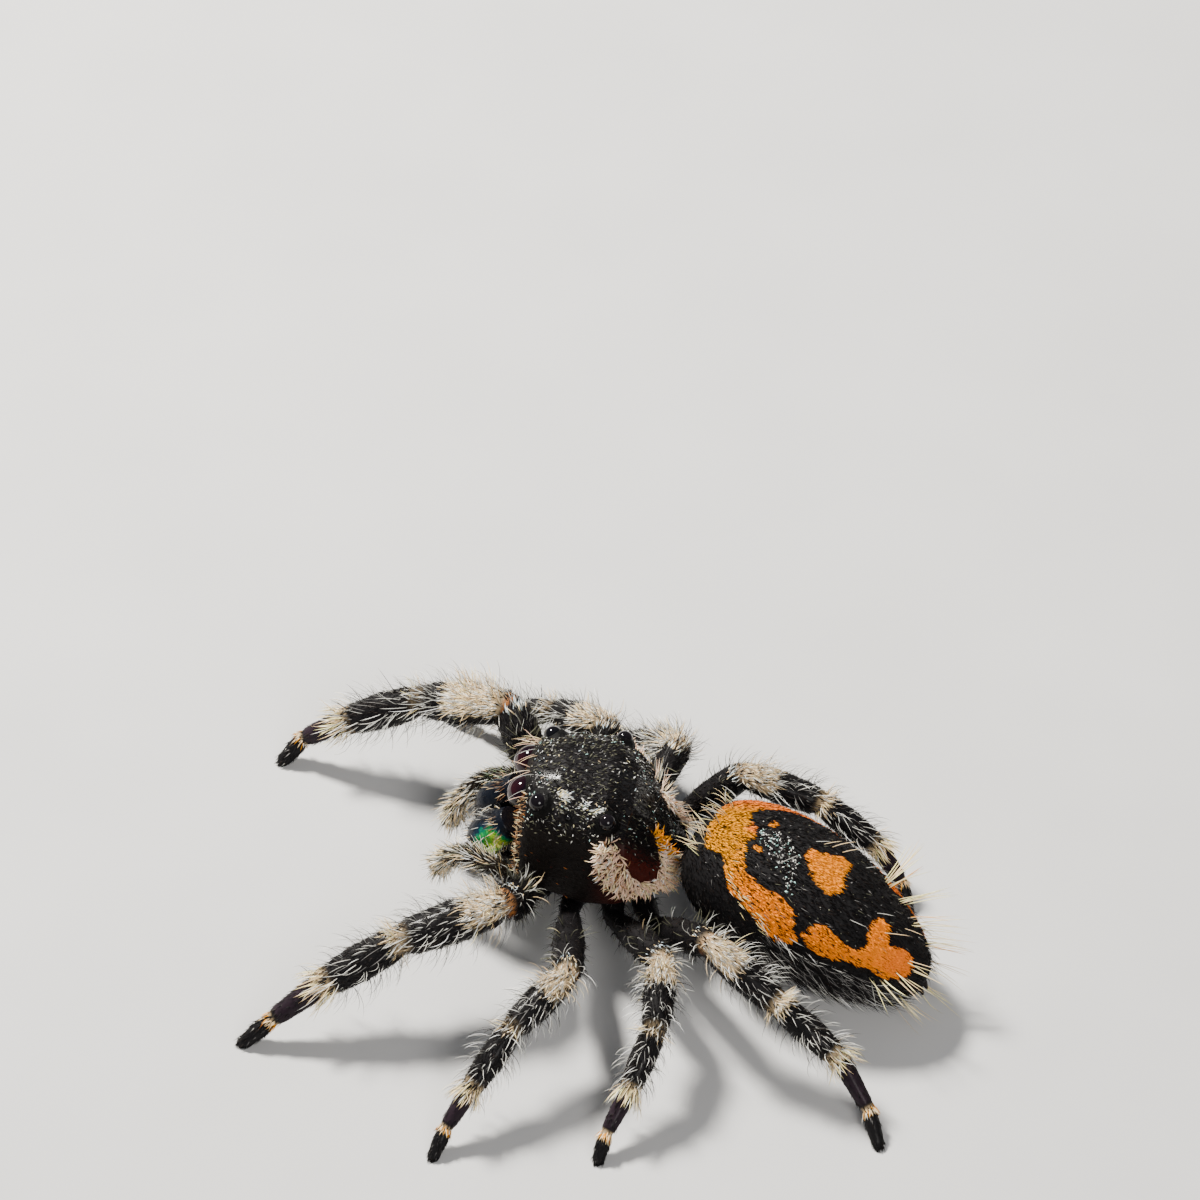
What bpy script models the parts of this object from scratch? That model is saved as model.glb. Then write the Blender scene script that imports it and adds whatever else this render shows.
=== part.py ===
# A juvenile bold jumping spider, a still model at life size, standing on its eight feet.
# The spider faces -X and its left side faces -Y. Sizes below are in millimetres,
# and every mesh is scaled to metres when it is finished.
import math
import random

import bmesh
import bpy
from mathutils import Matrix, Vector

METRES = 0.001
GAP = 0.04

# Carapace: its own frame starts at the foot of the face, with x running back, y to the left and z up.
FACE_FOOT = Vector((-1.85, 1.21, 1.45))
CARAPACE_HEADING = 9.0
CARAPACE_LIFT = 9.0
CARAPACE_LENGTH = 2.66
CARAPACE_HALF_WIDTH = 1.40
CARAPACE_HEIGHT = 1.76
CARAPACE_FLOOR = 0.16
FACE_LEAN = 0.16
CARAPACE_STATIONS = (0.0, 0.02, 0.07, 0.16, 0.28, 0.40, 0.48, 0.56, 0.66, 0.76, 0.86, 0.94, 1.0)

# Outline of the carapace as (place along it, share of the full size).
CARAPACE_WIDTHS = (
    (0.0, 0.70), (0.04, 0.78), (0.20, 0.88), (0.45, 0.95),
    (0.62, 0.88), (0.80, 0.68), (0.93, 0.43), (1.0, 0.22),
)
CARAPACE_HEIGHTS = (
    (0.0, 0.78), (0.04, 0.88), (0.20, 0.97), (0.46, 1.0),
    (0.60, 0.88), (0.78, 0.55), (0.93, 0.28), (1.0, 0.20),
)
CARAPACE_SQUARENESS = ((0.0, 2.6), (0.45, 2.7), (0.8, 2.2), (1.0, 2.0))

# Sternum: a shield under the carapace that the coxae stand around.
STERNUM_START = 0.30
STERNUM_LENGTH = 2.15
STERNUM_HALF_HEIGHT = 0.22
STERNUM_WIDTHS = ((0.0, 0.14), (0.10, 0.28), (0.28, 0.41), (0.70, 0.42), (0.90, 0.34), (1.0, 0.16))
STERNUM_STATIONS = (0.0, 0.10, 0.28, 0.50, 0.70, 0.90, 1.0)

# Abdomen: its own frame is at its middle, with x running back.
ABDOMEN_MIDDLE = Vector((2.67, -0.52, 1.43))
ABDOMEN_HEADING = 30.0
ABDOMEN_DROOP = 15.5
ABDOMEN_LENGTH = 4.30
ABDOMEN_HALF_WIDTH = 1.20
ABDOMEN_TOP = 1.07
ABDOMEN_BELLY = 1.15
ABDOMEN_SAG = 0.10
ABDOMEN_FULLNESS = 0.41
ABDOMEN_FORWARD = 0.79
ABDOMEN_TAPER = 0.02
ABDOMEN_SQUARENESS = 2.1
ABDOMEN_STATIONS = (0.0, 0.02, 0.06, 0.13, 0.22, 0.33, 0.45, 0.57, 0.69, 0.79, 0.88, 0.95, 0.985, 1.0)
BODY_SIDES = 22
PEDICEL_START = (2.84, 0.0, 0.06)
PEDICEL_END = (-2.20, 0.0, -0.42)
PEDICEL_RADII = (0.13, 0.10, 0.13)
SPINNERET_RADIUS = 0.16
SPINNERET_LENGTH = 0.18

# Eyes: place on the carapace (back from the face, out from the middle, up), and radius.
EYES = {
    "anterior_median": ((-0.10, 0.335, 1.10), 0.285),
    "anterior_lateral": ((0.14, 0.730, 1.40), 0.165),
    "posterior_median": ((0.66, 0.900, 1.40), 0.055),
    "posterior_lateral": ((1.26, 0.900, 1.49), 0.150),
}
SOCKET_PLAY = 0.03
BIG_EYE = 0.2
BIG_EYE_GRID = (12, 8)
SMALL_EYE_GRID = (10, 7)

# Mouthparts, in the carapace's frame.
CHELICERA_PATH = ((-0.24, 0.36, 0.32), (-0.56, 0.35, -0.05), (-0.58, 0.33, -0.62))
CHELICERA_RADII = (0.26, 0.32, 0.18)
FANG_LENGTH = 0.34
FANG_RADIUS = 0.075
PALP_PATH = (
    (-0.02, 0.80, -0.34), (-0.36, 0.98, -0.02), (-0.80, 0.80, -0.10),
    (-1.12, 0.62, -0.52), (-1.20, 0.50, -0.98),
)
PALP_RADII = (0.12, 0.15, 0.15, 0.16, 0.10)

# Legs: where each coxa starts behind the face, the way it points, and the joints after the femur as
# places on the floor's grid with their heights: knee, patella end, tibia end, metatarsus end, toe.
COXA_OUT = 0.52
COXA_DROP = -0.45
COXA_LENGTH = 0.62
COXA_BACK = {"leg1": 0.62, "leg2": 1.12, "leg3": 1.60, "leg4": 2.07}
COXA_SWING = {"leg1": 36.0, "leg2": 12.0, "leg3": -10.0, "leg4": -24.0}
LEGS = {
    "leg1_left": (
        (-2.10, -0.84, 1.88), (-3.75, -1.32, 1.55), (-5.03, -1.74, 0.95),
        (-5.80, -2.00, 0.42), (-6.30, -2.18, 0.0),
    ),
    "leg2_left": (
        (-1.14, -2.08, 1.62), (-2.00, -2.95, 1.35), (-2.66, -3.72, 0.78),
        (-3.02, -4.10, 0.35), (-3.24, -4.45, 0.0),
    ),
    "leg3_left": (
        (0.34, -1.76, 1.56), (0.21, -2.94, 1.30), (-0.21, -3.72, 0.75),
        (-0.55, -4.22, 0.35), (-0.69, -4.53, 0.0),
    ),
    "leg4_left": (
        (1.04, -1.75, 1.96), (2.11, -2.50, 1.42), (3.08, -3.14, 0.85),
        (3.52, -3.76, 0.35), (3.68, -4.25, 0.0),
    ),
    "leg1_right": (
        (-2.10, 3.35, 1.90), (-3.55, 3.78, 1.60), (-4.88, 3.90, 0.95),
        (-5.54, 4.00, 0.45), (-5.94, 3.84, 0.0),
    ),
    "leg2_right": (
        (-0.50, 3.24, 1.60), (-1.40, 3.85, 1.25), (-2.20, 4.35, 0.70),
        (-2.75, 4.65, 0.32), (-3.20, 4.85, 0.0),
    ),
    "leg3_right": (
        (0.66, 2.92, 1.41), (0.34, 3.42, 0.98), (-0.20, 3.88, 0.50),
        (-0.62, 4.24, 0.22), (-0.95, 4.48, 0.0),
    ),
    "leg4_right": (
        (1.66, 2.10, 1.66), (2.92, 1.72, 1.38), (3.86, 1.28, 0.78),
        (4.22, 0.92, 0.35), (4.34, 0.55, 0.0),
    ),
}
LEG_RADII = {
    "leg1": {"coxa": 0.23, "femur": 0.39, "patella": 0.38, "tibia": 0.34, "metatarsus": 0.21, "tarsus": 0.145},
    "leg2": {"coxa": 0.20, "femur": 0.31, "patella": 0.29, "tibia": 0.25, "metatarsus": 0.16, "tarsus": 0.125},
    "leg3": {"coxa": 0.19, "femur": 0.30, "patella": 0.28, "tibia": 0.24, "metatarsus": 0.155, "tarsus": 0.120},
    "leg4": {"coxa": 0.19, "femur": 0.31, "patella": 0.30, "tibia": 0.27, "metatarsus": 0.165, "tarsus": 0.125},
}
LEG_SWELL = {"femur": 0.30, "patella": 0.18, "tibia": 0.22, "foot": 0.12}
TOE_RADIUS = 0.085
LEG_SIDES = 8

# Coat: each kind of bristle lock as its length, its width, its stand off the surface in degrees
# and how strongly it bends back along the lie.
LOCKS = {
    "leg": (0.46, 0.14, 54.0, 0.38),
    "band": (0.30, 0.15, 40.0, 0.40),
    "fringe": (0.28, 0.12, 40.0, 0.20),
    "lash": (0.46, 0.10, 42.0, 0.20),
    "seta": (0.60, 0.09, 74.0, 0.16),
    "tail": (0.74, 0.14, 36.0, 0.16),
    "flank": (0.42, 0.16, 26.0, 0.24),
    "back": (0.34, 0.14, 28.0, 0.30),
    "chelicera": (0.22, 0.09, 34.0, 0.30),
    "palp": (0.32, 0.13, 38.0, 0.24),
}
LOCK_ROOT = 0.09
LOCK_FLATNESS = 0.55
LOCK_TAPER = ((0.0, 1.0), (0.55, 0.80))
LOCK_VARIATION = 0.16
FLOOR_CLEARANCE = 0.03
GOLDEN_ANGLE = 2.399963
LEG_LOCKS = {"femur": 7, "patella": 11, "tibia": 11, "foot": 7}
LEG1_LOCK_SCALE = 1.12
HIND_LOCK_SCALE = 0.92
FOOT_LOCK_SCALE = 0.68

# The pale band on each side of the carapace, as a path of (place, angle) down the side, back along
# the margin and up again over the rear slope.
BAND = (
    (0.53, 0.70), (0.50, 0.44), (0.51, 0.26), (0.59, 0.18), (0.68, 0.18),
    (0.77, 0.20), (0.86, 0.30), (0.91, 0.60), (0.89, 0.98), (0.83, 1.30),
)
FRINGE_ANGLES = (0.12, 0.42, 0.75)
LASH_ANGLES = (1.10, 1.45)
SETA_PLACES = ((0.16, 1.30), (0.44, 1.20))

MATERIALS = {
    "black_cuticle": ((0.010, 0.009, 0.010), 0.35, 0.0),
    "dark_red_cuticle": ((0.055, 0.012, 0.008), 0.25, 0.0),
    "leg_coat": ((0.20, 0.19, 0.18), 0.75, 0.0),
    "abdomen_coat": ((0.02, 0.018, 0.018), 0.85, 0.0),
    "eye_lens": ((0.006, 0.006, 0.010), 0.05, 0.0),
    "green_chelicera": ((0.01, 0.16, 0.09), 0.22, 0.8),
    "pale_hair": ((0.62, 0.52, 0.44), 0.75, 0.0),
}


def clear_scene():
    for obj in list(bpy.data.objects):
        bpy.data.objects.remove(obj, do_unlink=True)


def make_material(name):
    colour, roughness, metallic = MATERIALS[name]
    material = bpy.data.materials.new(name)
    material.use_nodes = True
    shader = material.node_tree.nodes["Principled BSDF"]
    shader.inputs["Base Color"].default_value = (*colour, 1.0)
    shader.inputs["Roughness"].default_value = roughness
    shader.inputs["Metallic"].default_value = metallic
    material.diffuse_color = (*colour, 1.0)
    return material


def body_frame(origin, heading, lift):
    """A frame whose x runs back, y to the spider's left and z up, turned by its heading and lifted in front."""
    turn = Matrix.Rotation(math.radians(-heading), 4, "Z")
    nod = Matrix.Rotation(math.radians(lift), 4, "Y")
    mirror = Matrix.Diagonal((1.0, -1.0, 1.0, 1.0))
    return Matrix.Translation(origin) @ turn @ nod @ mirror


CARAPACE_FRAME = body_frame(FACE_FOOT, CARAPACE_HEADING, CARAPACE_LIFT)
ABDOMEN_FRAME = body_frame(ABDOMEN_MIDDLE, ABDOMEN_HEADING, ABDOMEN_DROOP)


def smooth(x):
    x = min(max(x, 0.0), 1.0)
    return x * x * (3.0 - 2.0 * x)


def reading(stations, t):
    """Reads a value between stations in straight runs."""
    for (t0, v0), (t1, v1) in zip(stations, stations[1:]):
        if t <= t1:
            return v0 + (v1 - v0) * (t - t0) / (t1 - t0)
    return stations[-1][1]


def super_round(angle, power):
    """A point on a squared circle: power 2 is round and higher is boxier."""
    c = math.cos(angle)
    s = math.sin(angle)
    side = math.copysign(abs(c) ** (2.0 / power), c)
    rise = math.copysign(abs(s) ** (2.0 / power), s)
    return side, rise


def carapace_surface(t, angle):
    """t runs from the face to the rear rim; the angle runs from the left side over the top."""
    side, rise = super_round(angle, reading(CARAPACE_SQUARENESS, t))
    x = t * CARAPACE_LENGTH - FACE_LEAN * max(rise, 0.0) * (1.0 - t) ** 3
    y = side * CARAPACE_HALF_WIDTH * reading(CARAPACE_WIDTHS, t)
    depth = CARAPACE_HEIGHT * reading(CARAPACE_HEIGHTS, t) if rise > 0 else CARAPACE_FLOOR
    return CARAPACE_FRAME @ Vector((x, y, rise * depth))


def sternum_surface(t, angle):
    side, rise = super_round(angle, 2.4)
    x = STERNUM_START + t * STERNUM_LENGTH
    width = reading(STERNUM_WIDTHS, t)
    height = STERNUM_HALF_HEIGHT * (width / 0.42) ** 0.5
    return CARAPACE_FRAME @ Vector((x, side * width, COXA_DROP + rise * height))


def abdomen_surface(t, angle):
    """t runs from the waist to the spinnerets; the angle runs from the left side over the top.
    The two very ends are left out, so that each closes on a small flat."""
    t = min(max(0.012 + 0.972 * t, 0.012), 0.984)
    girth = math.sin(math.pi * t ** ABDOMEN_FORWARD) ** ABDOMEN_FULLNESS
    girth *= 1.0 - ABDOMEN_TAPER * smooth((t - 0.60) / 0.40)
    side, rise = super_round(angle, ABDOMEN_SQUARENESS)
    depth = ABDOMEN_TOP if rise > 0 else ABDOMEN_BELLY
    sag = ABDOMEN_SAG * smooth((t - 0.5) / 0.5)
    x = (t - 0.5) * ABDOMEN_LENGTH
    return ABDOMEN_FRAME @ Vector((x, side * ABDOMEN_HALF_WIDTH * girth, rise * depth * girth - sag))


def tube_surface(path, radii, first_plane=None, last_plane=None):
    """A round tube along a path of points, mitred at its bends, whose ends lie in the given planes.
    t counts the path's spans, from 0 to their number."""
    path = [Vector(p) for p in path]
    runs = [(b - a).normalized() for a, b in zip(path, path[1:])]
    planes = [(a + b).normalized() for a, b in zip(runs, runs[1:])]
    planes = [first_plane or runs[0]] + planes + [last_plane or runs[-1]]

    def surface(t, angle):
        span = min(int(t), len(runs) - 1)
        f = t - span
        run = runs[span]
        side = run.cross(Vector((0.0, 0.0, 1.0))).normalized()
        rise = side.cross(run)
        radius = radii[span] + (radii[span + 1] - radii[span]) * f
        start = path[span] + side * (math.cos(angle) * radius) + rise * (math.sin(angle) * radius)
        low = (path[span] - start).dot(planes[span]) / run.dot(planes[span])
        high = (path[span + 1] - start).dot(planes[span + 1]) / run.dot(planes[span + 1])
        return start + run * (low + (high - low) * f)

    return surface


def swollen(surface, path, amount):
    """Swells a tube between its ends, as a leg's joints are narrower than what lies between them."""
    def fuller(t, angle):
        point = surface(t, angle)
        span = min(max(int(t), 0), len(path) - 2)
        f = min(max(t - span, 0.0), 1.0)
        start = path[span]
        axis = (path[span + 1] - start).normalized()
        foot = start + axis * (point - start).dot(axis)
        return foot + (point - foot) * (1.0 + amount * math.sin(math.pi * f))

    return fuller


def surface_mesh(surface, stations, sides):
    """Rings of the surface at the stations, joined by quads and closed by a flat face at each end."""
    mesh = bmesh.new()
    rings = []
    for t in stations:
        rings.append([mesh.verts.new(surface(t, 2.0 * math.pi * k / sides)) for k in range(sides)])
    for ring, following in zip(rings, rings[1:]):
        for k in range(sides):
            n = (k + 1) % sides
            mesh.faces.new((ring[k], ring[n], following[n], following[k]))
    mesh.faces.new(rings[0])
    mesh.faces.new(rings[-1])
    bmesh.ops.recalc_face_normals(mesh, faces=mesh.faces)
    return mesh


def object_from(mesh, name, material=None):
    bmesh.ops.triangulate(mesh, faces=mesh.faces, quad_method="BEAUTY", ngon_method="BEAUTY")
    data = bpy.data.meshes.new(name)
    mesh.to_mesh(data)
    mesh.free()
    obj = bpy.data.objects.new(name, data)
    bpy.context.scene.collection.objects.link(obj)
    if material:
        data.materials.append(material)
    return obj


def spread(start, stop, count):
    return [start + (stop - start) * k / (count - 1) for k in range(count)]


def on_surface(surface, t, angle, step=0.02):
    """The point of a surface, its outward normal there and the way it runs along t."""
    here = surface(t, angle)
    along = surface(t + step, angle) - surface(t - step, angle)
    around = surface(t, angle + step) - surface(t, angle - step)
    normal = around.cross(along).normalized()
    middle = sum((surface(t, math.pi * k / 4.0) for k in range(8)), Vector()) / 8.0
    if normal.dot(here - middle) < 0.0:
        normal = -normal
    return here, normal, along.normalized()


def above_floor(point):
    return Vector((point.x, point.y, max(point.z, FLOOR_CLEARANCE)))


def lock_object(root, normal, lie, length, width, stand, bend):
    """A flat, tapered, bent lock with three sides, whose root is sunk below the surface."""
    across = lie.cross(normal).normalized()
    mesh = bmesh.new()
    rings = []
    point = root - normal * LOCK_ROOT
    heading = (lie * math.cos(stand) + normal * math.sin(stand)).normalized()
    travelled = 0.0
    total = length + LOCK_ROOT
    for share, size in LOCK_TAPER:
        point = point + heading * (total * (share - travelled))
        travelled = share
        back = across.cross(heading).normalized()
        half = 0.5 * width * size
        corners = (point - across * half, point + across * half, point + back * (LOCK_FLATNESS * 2.0 * half))
        rings.append([mesh.verts.new(above_floor(corner)) for corner in corners])
        heading = (heading + lie * bend).normalized()
    tip = mesh.verts.new(above_floor(point + heading * (total * (1.0 - travelled))))
    for ring, following in zip(rings, rings[1:]):
        for k in range(3):
            n = (k + 1) % 3
            mesh.faces.new((ring[k], ring[n], following[n], following[k]))
    for k in range(3):
        mesh.faces.new((rings[-1][k], rings[-1][(k + 1) % 3], tip))
    mesh.faces.new(rings[0])
    bmesh.ops.recalc_face_normals(mesh, faces=mesh.faces)
    return object_from(mesh, "lock")


def locks_over(surface, places, kind, draw, scale=1.0, toward=1.0):
    """Locks of one kind rooted on a surface at places of (t, angle), lying along t, each a little different."""
    length, width, stand, bend = LOCKS[kind]
    locks = []
    for t, angle in places:
        root, normal, along = on_surface(surface, t, angle)
        twist = draw.uniform(-0.35, 0.35)
        lie = (along * toward + normal.cross(along) * twist).normalized()
        size = scale * draw.uniform(1.0 - LOCK_VARIATION, 1.0 + LOCK_VARIATION)
        lean = math.radians(stand + draw.uniform(-8.0, 8.0))
        locks.append(lock_object(root, normal, lie, length * size, width * scale, lean, bend))
    return locks


def both_sides(places):
    return places + [(t, math.pi - angle) for t, angle in places]


def boolean(obj, helpers, operation):
    """One Boolean of the object with a collection of closed meshes, applied, with the helpers removed."""
    group = bpy.data.collections.new("helpers")
    bpy.context.scene.collection.children.link(group)
    for helper in helpers:
        bpy.context.scene.collection.objects.unlink(helper)
        group.objects.link(helper)
    modifier = obj.modifiers.new("Boolean", "BOOLEAN")
    modifier.operation = operation
    modifier.operand_type = "COLLECTION"
    modifier.collection = group
    modifier.solver = "EXACT"
    bpy.context.view_layer.update()
    evaluated = obj.evaluated_get(bpy.context.evaluated_depsgraph_get())
    result = bpy.data.meshes.new_from_object(evaluated)
    obj.modifiers.clear()
    obj.data = result
    for helper in helpers:
        bpy.data.objects.remove(helper, do_unlink=True)
    bpy.data.collections.remove(group)
    keep_largest_surface(obj)


def keep_largest_surface(obj):
    mesh = bmesh.new()
    mesh.from_mesh(obj.data)
    unseen = set(mesh.verts)
    islands = []
    while unseen:
        stack = [unseen.pop()]
        island = set(stack)
        while stack:
            for edge in stack.pop().link_edges:
                for vert in edge.verts:
                    if vert in unseen:
                        unseen.remove(vert)
                        island.add(vert)
                        stack.append(vert)
        islands.append(island)
    largest = max(islands, key=len)
    stray = [vert for vert in mesh.verts if vert not in largest]
    bmesh.ops.delete(mesh, geom=stray, context="VERTS")
    bmesh.ops.triangulate(mesh, faces=mesh.faces)
    mesh.to_mesh(obj.data)
    mesh.free()


def ball(centre, radius, name="ball", material=None, play=0.0):
    segments, rings = BIG_EYE_GRID if radius > BIG_EYE else SMALL_EYE_GRID
    mesh = bmesh.new()
    bmesh.ops.create_uvsphere(mesh, u_segments=segments, v_segments=rings, radius=radius + play)
    bmesh.ops.translate(mesh, verts=mesh.verts, vec=centre)
    return object_from(mesh, name, material)


def eye_places():
    for eye, (place, radius) in EYES.items():
        for side, sign in (("left", 1.0), ("right", -1.0)):
            centre = CARAPACE_FRAME @ Vector((place[0], sign * place[1], place[2]))
            yield "eye_" + eye + "_" + side, centre, radius


def make_eyes(material):
    for name, centre, radius in eye_places():
        ball(centre, radius, name, material)


def make_carapace(material):
    mesh = surface_mesh(carapace_surface, CARAPACE_STATIONS, BODY_SIDES)
    obj = object_from(mesh, "carapace", material)
    draw = random.Random(11)
    fringe = [(0.05, angle) for angle in FRINGE_ANGLES]
    lashes = [(0.05, angle) for angle in LASH_ANGLES]
    locks = locks_over(carapace_surface, both_sides(list(BAND)), "band", draw)
    locks += locks_over(carapace_surface, both_sides(fringe), "fringe", draw, toward=-1.0)
    locks += locks_over(carapace_surface, both_sides(lashes), "lash", draw, toward=-1.0)
    locks += locks_over(carapace_surface, both_sides(list(SETA_PLACES)), "seta", draw)
    boolean(obj, locks, "UNION")
    sockets = [ball(centre, radius, play=SOCKET_PLAY) for _, centre, radius in eye_places()]
    boolean(obj, sockets, "DIFFERENCE")


def make_sternum(material):
    object_from(surface_mesh(sternum_surface, STERNUM_STATIONS, 12), "sternum", material)


def make_pedicel(material):
    start = CARAPACE_FRAME @ Vector(PEDICEL_START)
    waist = ABDOMEN_FRAME @ Vector(PEDICEL_END)
    surface = tube_surface([start, start.lerp(waist, 0.5), waist], PEDICEL_RADII)
    object_from(surface_mesh(surface, spread(0.0, 2.0, 5), 10), "pedicel", material)


def make_abdomen(material):
    mesh = surface_mesh(abdomen_surface, ABDOMEN_STATIONS, BODY_SIDES)
    obj = object_from(mesh, "abdomen", material)
    draw = random.Random(23)
    tail = [(0.89 + 0.05 * (k % 2), 0.45 * k - 0.15) for k in range(14)]
    flank = both_sides([(0.18 + 0.13 * k, 0.10 if k % 2 else -0.38) for k in range(6)])
    back = both_sides([(0.10 + 0.17 * k, 0.62 + 0.42 * (k % 2)) for k in range(4)])
    back += [(0.06, 1.57), (0.40, 1.50), (0.72, 1.62)]
    locks = locks_over(abdomen_surface, tail, "tail", draw)
    locks += locks_over(abdomen_surface, flank, "flank", draw)
    locks += locks_over(abdomen_surface, back, "back", draw)
    boolean(obj, locks, "UNION")


def make_spinnerets(material):
    """Two short cones on a common base behind the abdomen's end, pointing back and down."""
    turn = ABDOMEN_FRAME.to_3x3()
    tail = abdomen_surface(1.0, 0.0).lerp(abdomen_surface(1.0, math.pi), 0.5)
    axis = (turn @ Vector((1.0, 0.0, 0.0))).normalized()
    down = (turn @ Vector((0.7, 0.0, -0.7))).normalized()
    side = (turn @ Vector((0.0, 1.0, 0.0))).normalized()
    base = tail + axis * GAP
    stub = tube_surface([base, base + axis * 0.08], (SPINNERET_RADIUS, 0.85 * SPINNERET_RADIUS))
    obj = object_from(surface_mesh(stub, (0.0, 0.5, 1.0), 10), "spinnerets", material)
    cones = []
    for sign in (-1.0, 1.0):
        root = base + axis * 0.04 + side * (0.07 * sign)
        end = root + down * SPINNERET_LENGTH + side * (0.04 * sign)
        cone = tube_surface([root, end], (0.06, 0.025))
        cones.append(object_from(surface_mesh(cone, (0.0, 0.6, 1.0), 6), "cone"))
    boolean(obj, cones, "UNION")


def make_chelicerae(material, fang_material):
    for side, sign in (("left", 1.0), ("right", -1.0)):
        path = [CARAPACE_FRAME @ Vector((x, y * sign, z)) for x, y, z in CHELICERA_PATH]
        surface = swollen(tube_surface(path, CHELICERA_RADII), path, 0.08)
        obj = object_from(surface_mesh(surface, spread(0.0, 2.0, 9), 14), "chelicera_" + side, material)
        draw = random.Random(31)
        places = [(0.9 + 0.35 * (k % 3), 0.9 * k - 0.6) for k in range(5)]
        boolean(obj, locks_over(surface, places, "chelicera", draw), "UNION")
        axis = (path[2] - path[1]).normalized()
        inward = (CARAPACE_FRAME.to_3x3() @ Vector((0.35, -sign, -0.15))).normalized()
        start = path[2] + axis * GAP
        knuckle = start + axis * 0.07
        end = knuckle + (inward * 0.8 + axis * 0.35) * FANG_LENGTH
        fang = tube_surface([start, knuckle, end], (FANG_RADIUS, 0.85 * FANG_RADIUS, 0.12 * FANG_RADIUS))
        object_from(surface_mesh(fang, spread(0.0, 2.0, 5), 8), "fang_" + side, fang_material)


def make_palps(material):
    for side, sign in (("left", 1.0), ("right", -1.0)):
        path = [CARAPACE_FRAME @ Vector((x, y * sign, z)) for x, y, z in PALP_PATH]
        surface = tube_surface(path, PALP_RADII)
        obj = object_from(surface_mesh(surface, spread(0.0, 4.0, 9), LEG_SIDES), "palp_" + side, material)
        draw = random.Random(41)
        places = [(1.0 + 0.25 * k, GOLDEN_ANGLE * k) for k in range(12)]
        boolean(obj, locks_over(surface, places, "palp", draw), "UNION")


def leg_path(name):
    """The leg's path from the coxa to the toe: coxa root, trochanter, knee and the joints after it."""
    kind, side = name.split("_")
    sign = 1.0 if side == "left" else -1.0
    swing = math.radians(COXA_SWING[kind])
    root = Vector((COXA_BACK[kind], COXA_OUT * sign, COXA_DROP))
    reach = Vector((-math.sin(swing), math.cos(swing) * sign, 0.0)) * COXA_LENGTH
    return [CARAPACE_FRAME @ root, CARAPACE_FRAME @ (root + reach)] + [Vector(p) for p in LEGS[name]]


def cut_back(path, first_plane, last_plane):
    """Moves a path's ends inwards, where a plane is given, so that half a gap is left at that cut."""
    path = [p.copy() for p in path]
    if first_plane:
        run = (path[1] - path[0]).normalized()
        path[0] += run * (0.5 * GAP / abs(run.dot(first_plane)))
    if last_plane:
        run = (path[-1] - path[-2]).normalized()
        path[-1] -= run * (0.5 * GAP / abs(run.dot(last_plane)))
    return path


def leg_lock_places(count, first, last, draw):
    """Places wound around a leg by the golden angle, which spreads them evenly."""
    places = []
    for k in range(count):
        t = first + (last - first) * (k + 0.5) / count
        places.append((t, GOLDEN_ANGLE * k + draw.uniform(-0.2, 0.2)))
    return places


def make_leg(name, material):
    kind = name.split("_")[0]
    radius = LEG_RADII[kind]
    path = leg_path(name)
    runs = [(b - a).normalized() for a, b in zip(path, path[1:])]
    cuts = [None] + [(a + b).normalized() for a, b in zip(runs, runs[1:])] + [None]
    floor_plane = Vector((0.0, 0.0, -1.0))
    seed = sum(ord(letter) for letter in name)
    # Each piece: its first and last joint, its radii, its rings a span, and where its locks start and stop.
    pieces = {
        "femur": (0, 2, (radius["coxa"], 0.92 * radius["coxa"], 0.80 * radius["femur"]), 3, 1.20, 1.92),
        "patella": (2, 3, (0.85 * radius["patella"], 0.85 * radius["patella"]), 4, 0.06, 0.92),
        "tibia": (3, 4, (0.85 * radius["tibia"], 0.72 * radius["tibia"]), 4, 0.08, 0.92),
        "foot": (4, 6, (0.95 * radius["metatarsus"], 0.85 * radius["tarsus"], TOE_RADIUS), 3, 0.08, 1.62),
    }
    for part, (first, last, radii, rings, start, stop) in pieces.items():
        spans = last - first
        stretch = cut_back(path[first:last + 1], cuts[first], cuts[last])
        tube = tube_surface(stretch, radii, cuts[first], cuts[last] or floor_plane)
        surface = swollen(tube, stretch, LEG_SWELL[part])
        stations = spread(0.0, float(spans), spans * (rings - 1) + 1)
        obj = object_from(surface_mesh(surface, stations, LEG_SIDES), name + "_" + part, material)
        draw = random.Random(seed + first)
        scale = LEG1_LOCK_SCALE if kind == "leg1" else HIND_LOCK_SCALE
        if part == "foot":
            scale *= FOOT_LOCK_SCALE
        places = leg_lock_places(LEG_LOCKS[part], start, stop, draw)
        boolean(obj, locks_over(surface, places, "leg", draw, scale), "UNION")


def stand_on_floor():
    """Moves the spider so that its box has its middle over the origin and its feet are at z 0, in metres."""
    meshes = [obj for obj in bpy.data.objects if obj.type == "MESH"]
    points = [vert.co for obj in meshes for vert in obj.data.vertices]
    low = [min(p[k] for p in points) for k in range(3)]
    high = [max(p[k] for p in points) for k in range(3)]
    shift = Vector((-0.5 * (low[0] + high[0]), -0.5 * (low[1] + high[1]), -low[2]))
    print("moved by", [round(v, 4) for v in shift], "size", [round(b - a, 3) for a, b in zip(low, high)])
    for obj in meshes:
        obj.data.transform(Matrix.Scale(METRES, 4) @ Matrix.Translation(shift))
        obj.data.shade_smooth()


def main():
    clear_scene()
    look = {name: make_material(name) for name in MATERIALS}
    make_carapace(look["dark_red_cuticle"])
    make_eyes(look["eye_lens"])
    make_sternum(look["black_cuticle"])
    make_pedicel(look["black_cuticle"])
    make_abdomen(look["abdomen_coat"])
    make_spinnerets(look["black_cuticle"])
    make_chelicerae(look["green_chelicera"], look["dark_red_cuticle"])
    make_palps(look["pale_hair"])
    for name in LEGS:
        make_leg(name, look["leg_coat"])
    stand_on_floor()


main()
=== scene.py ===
import math

import bmesh
import bpy
import numpy as np
from mathutils import Matrix, Vector


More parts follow.
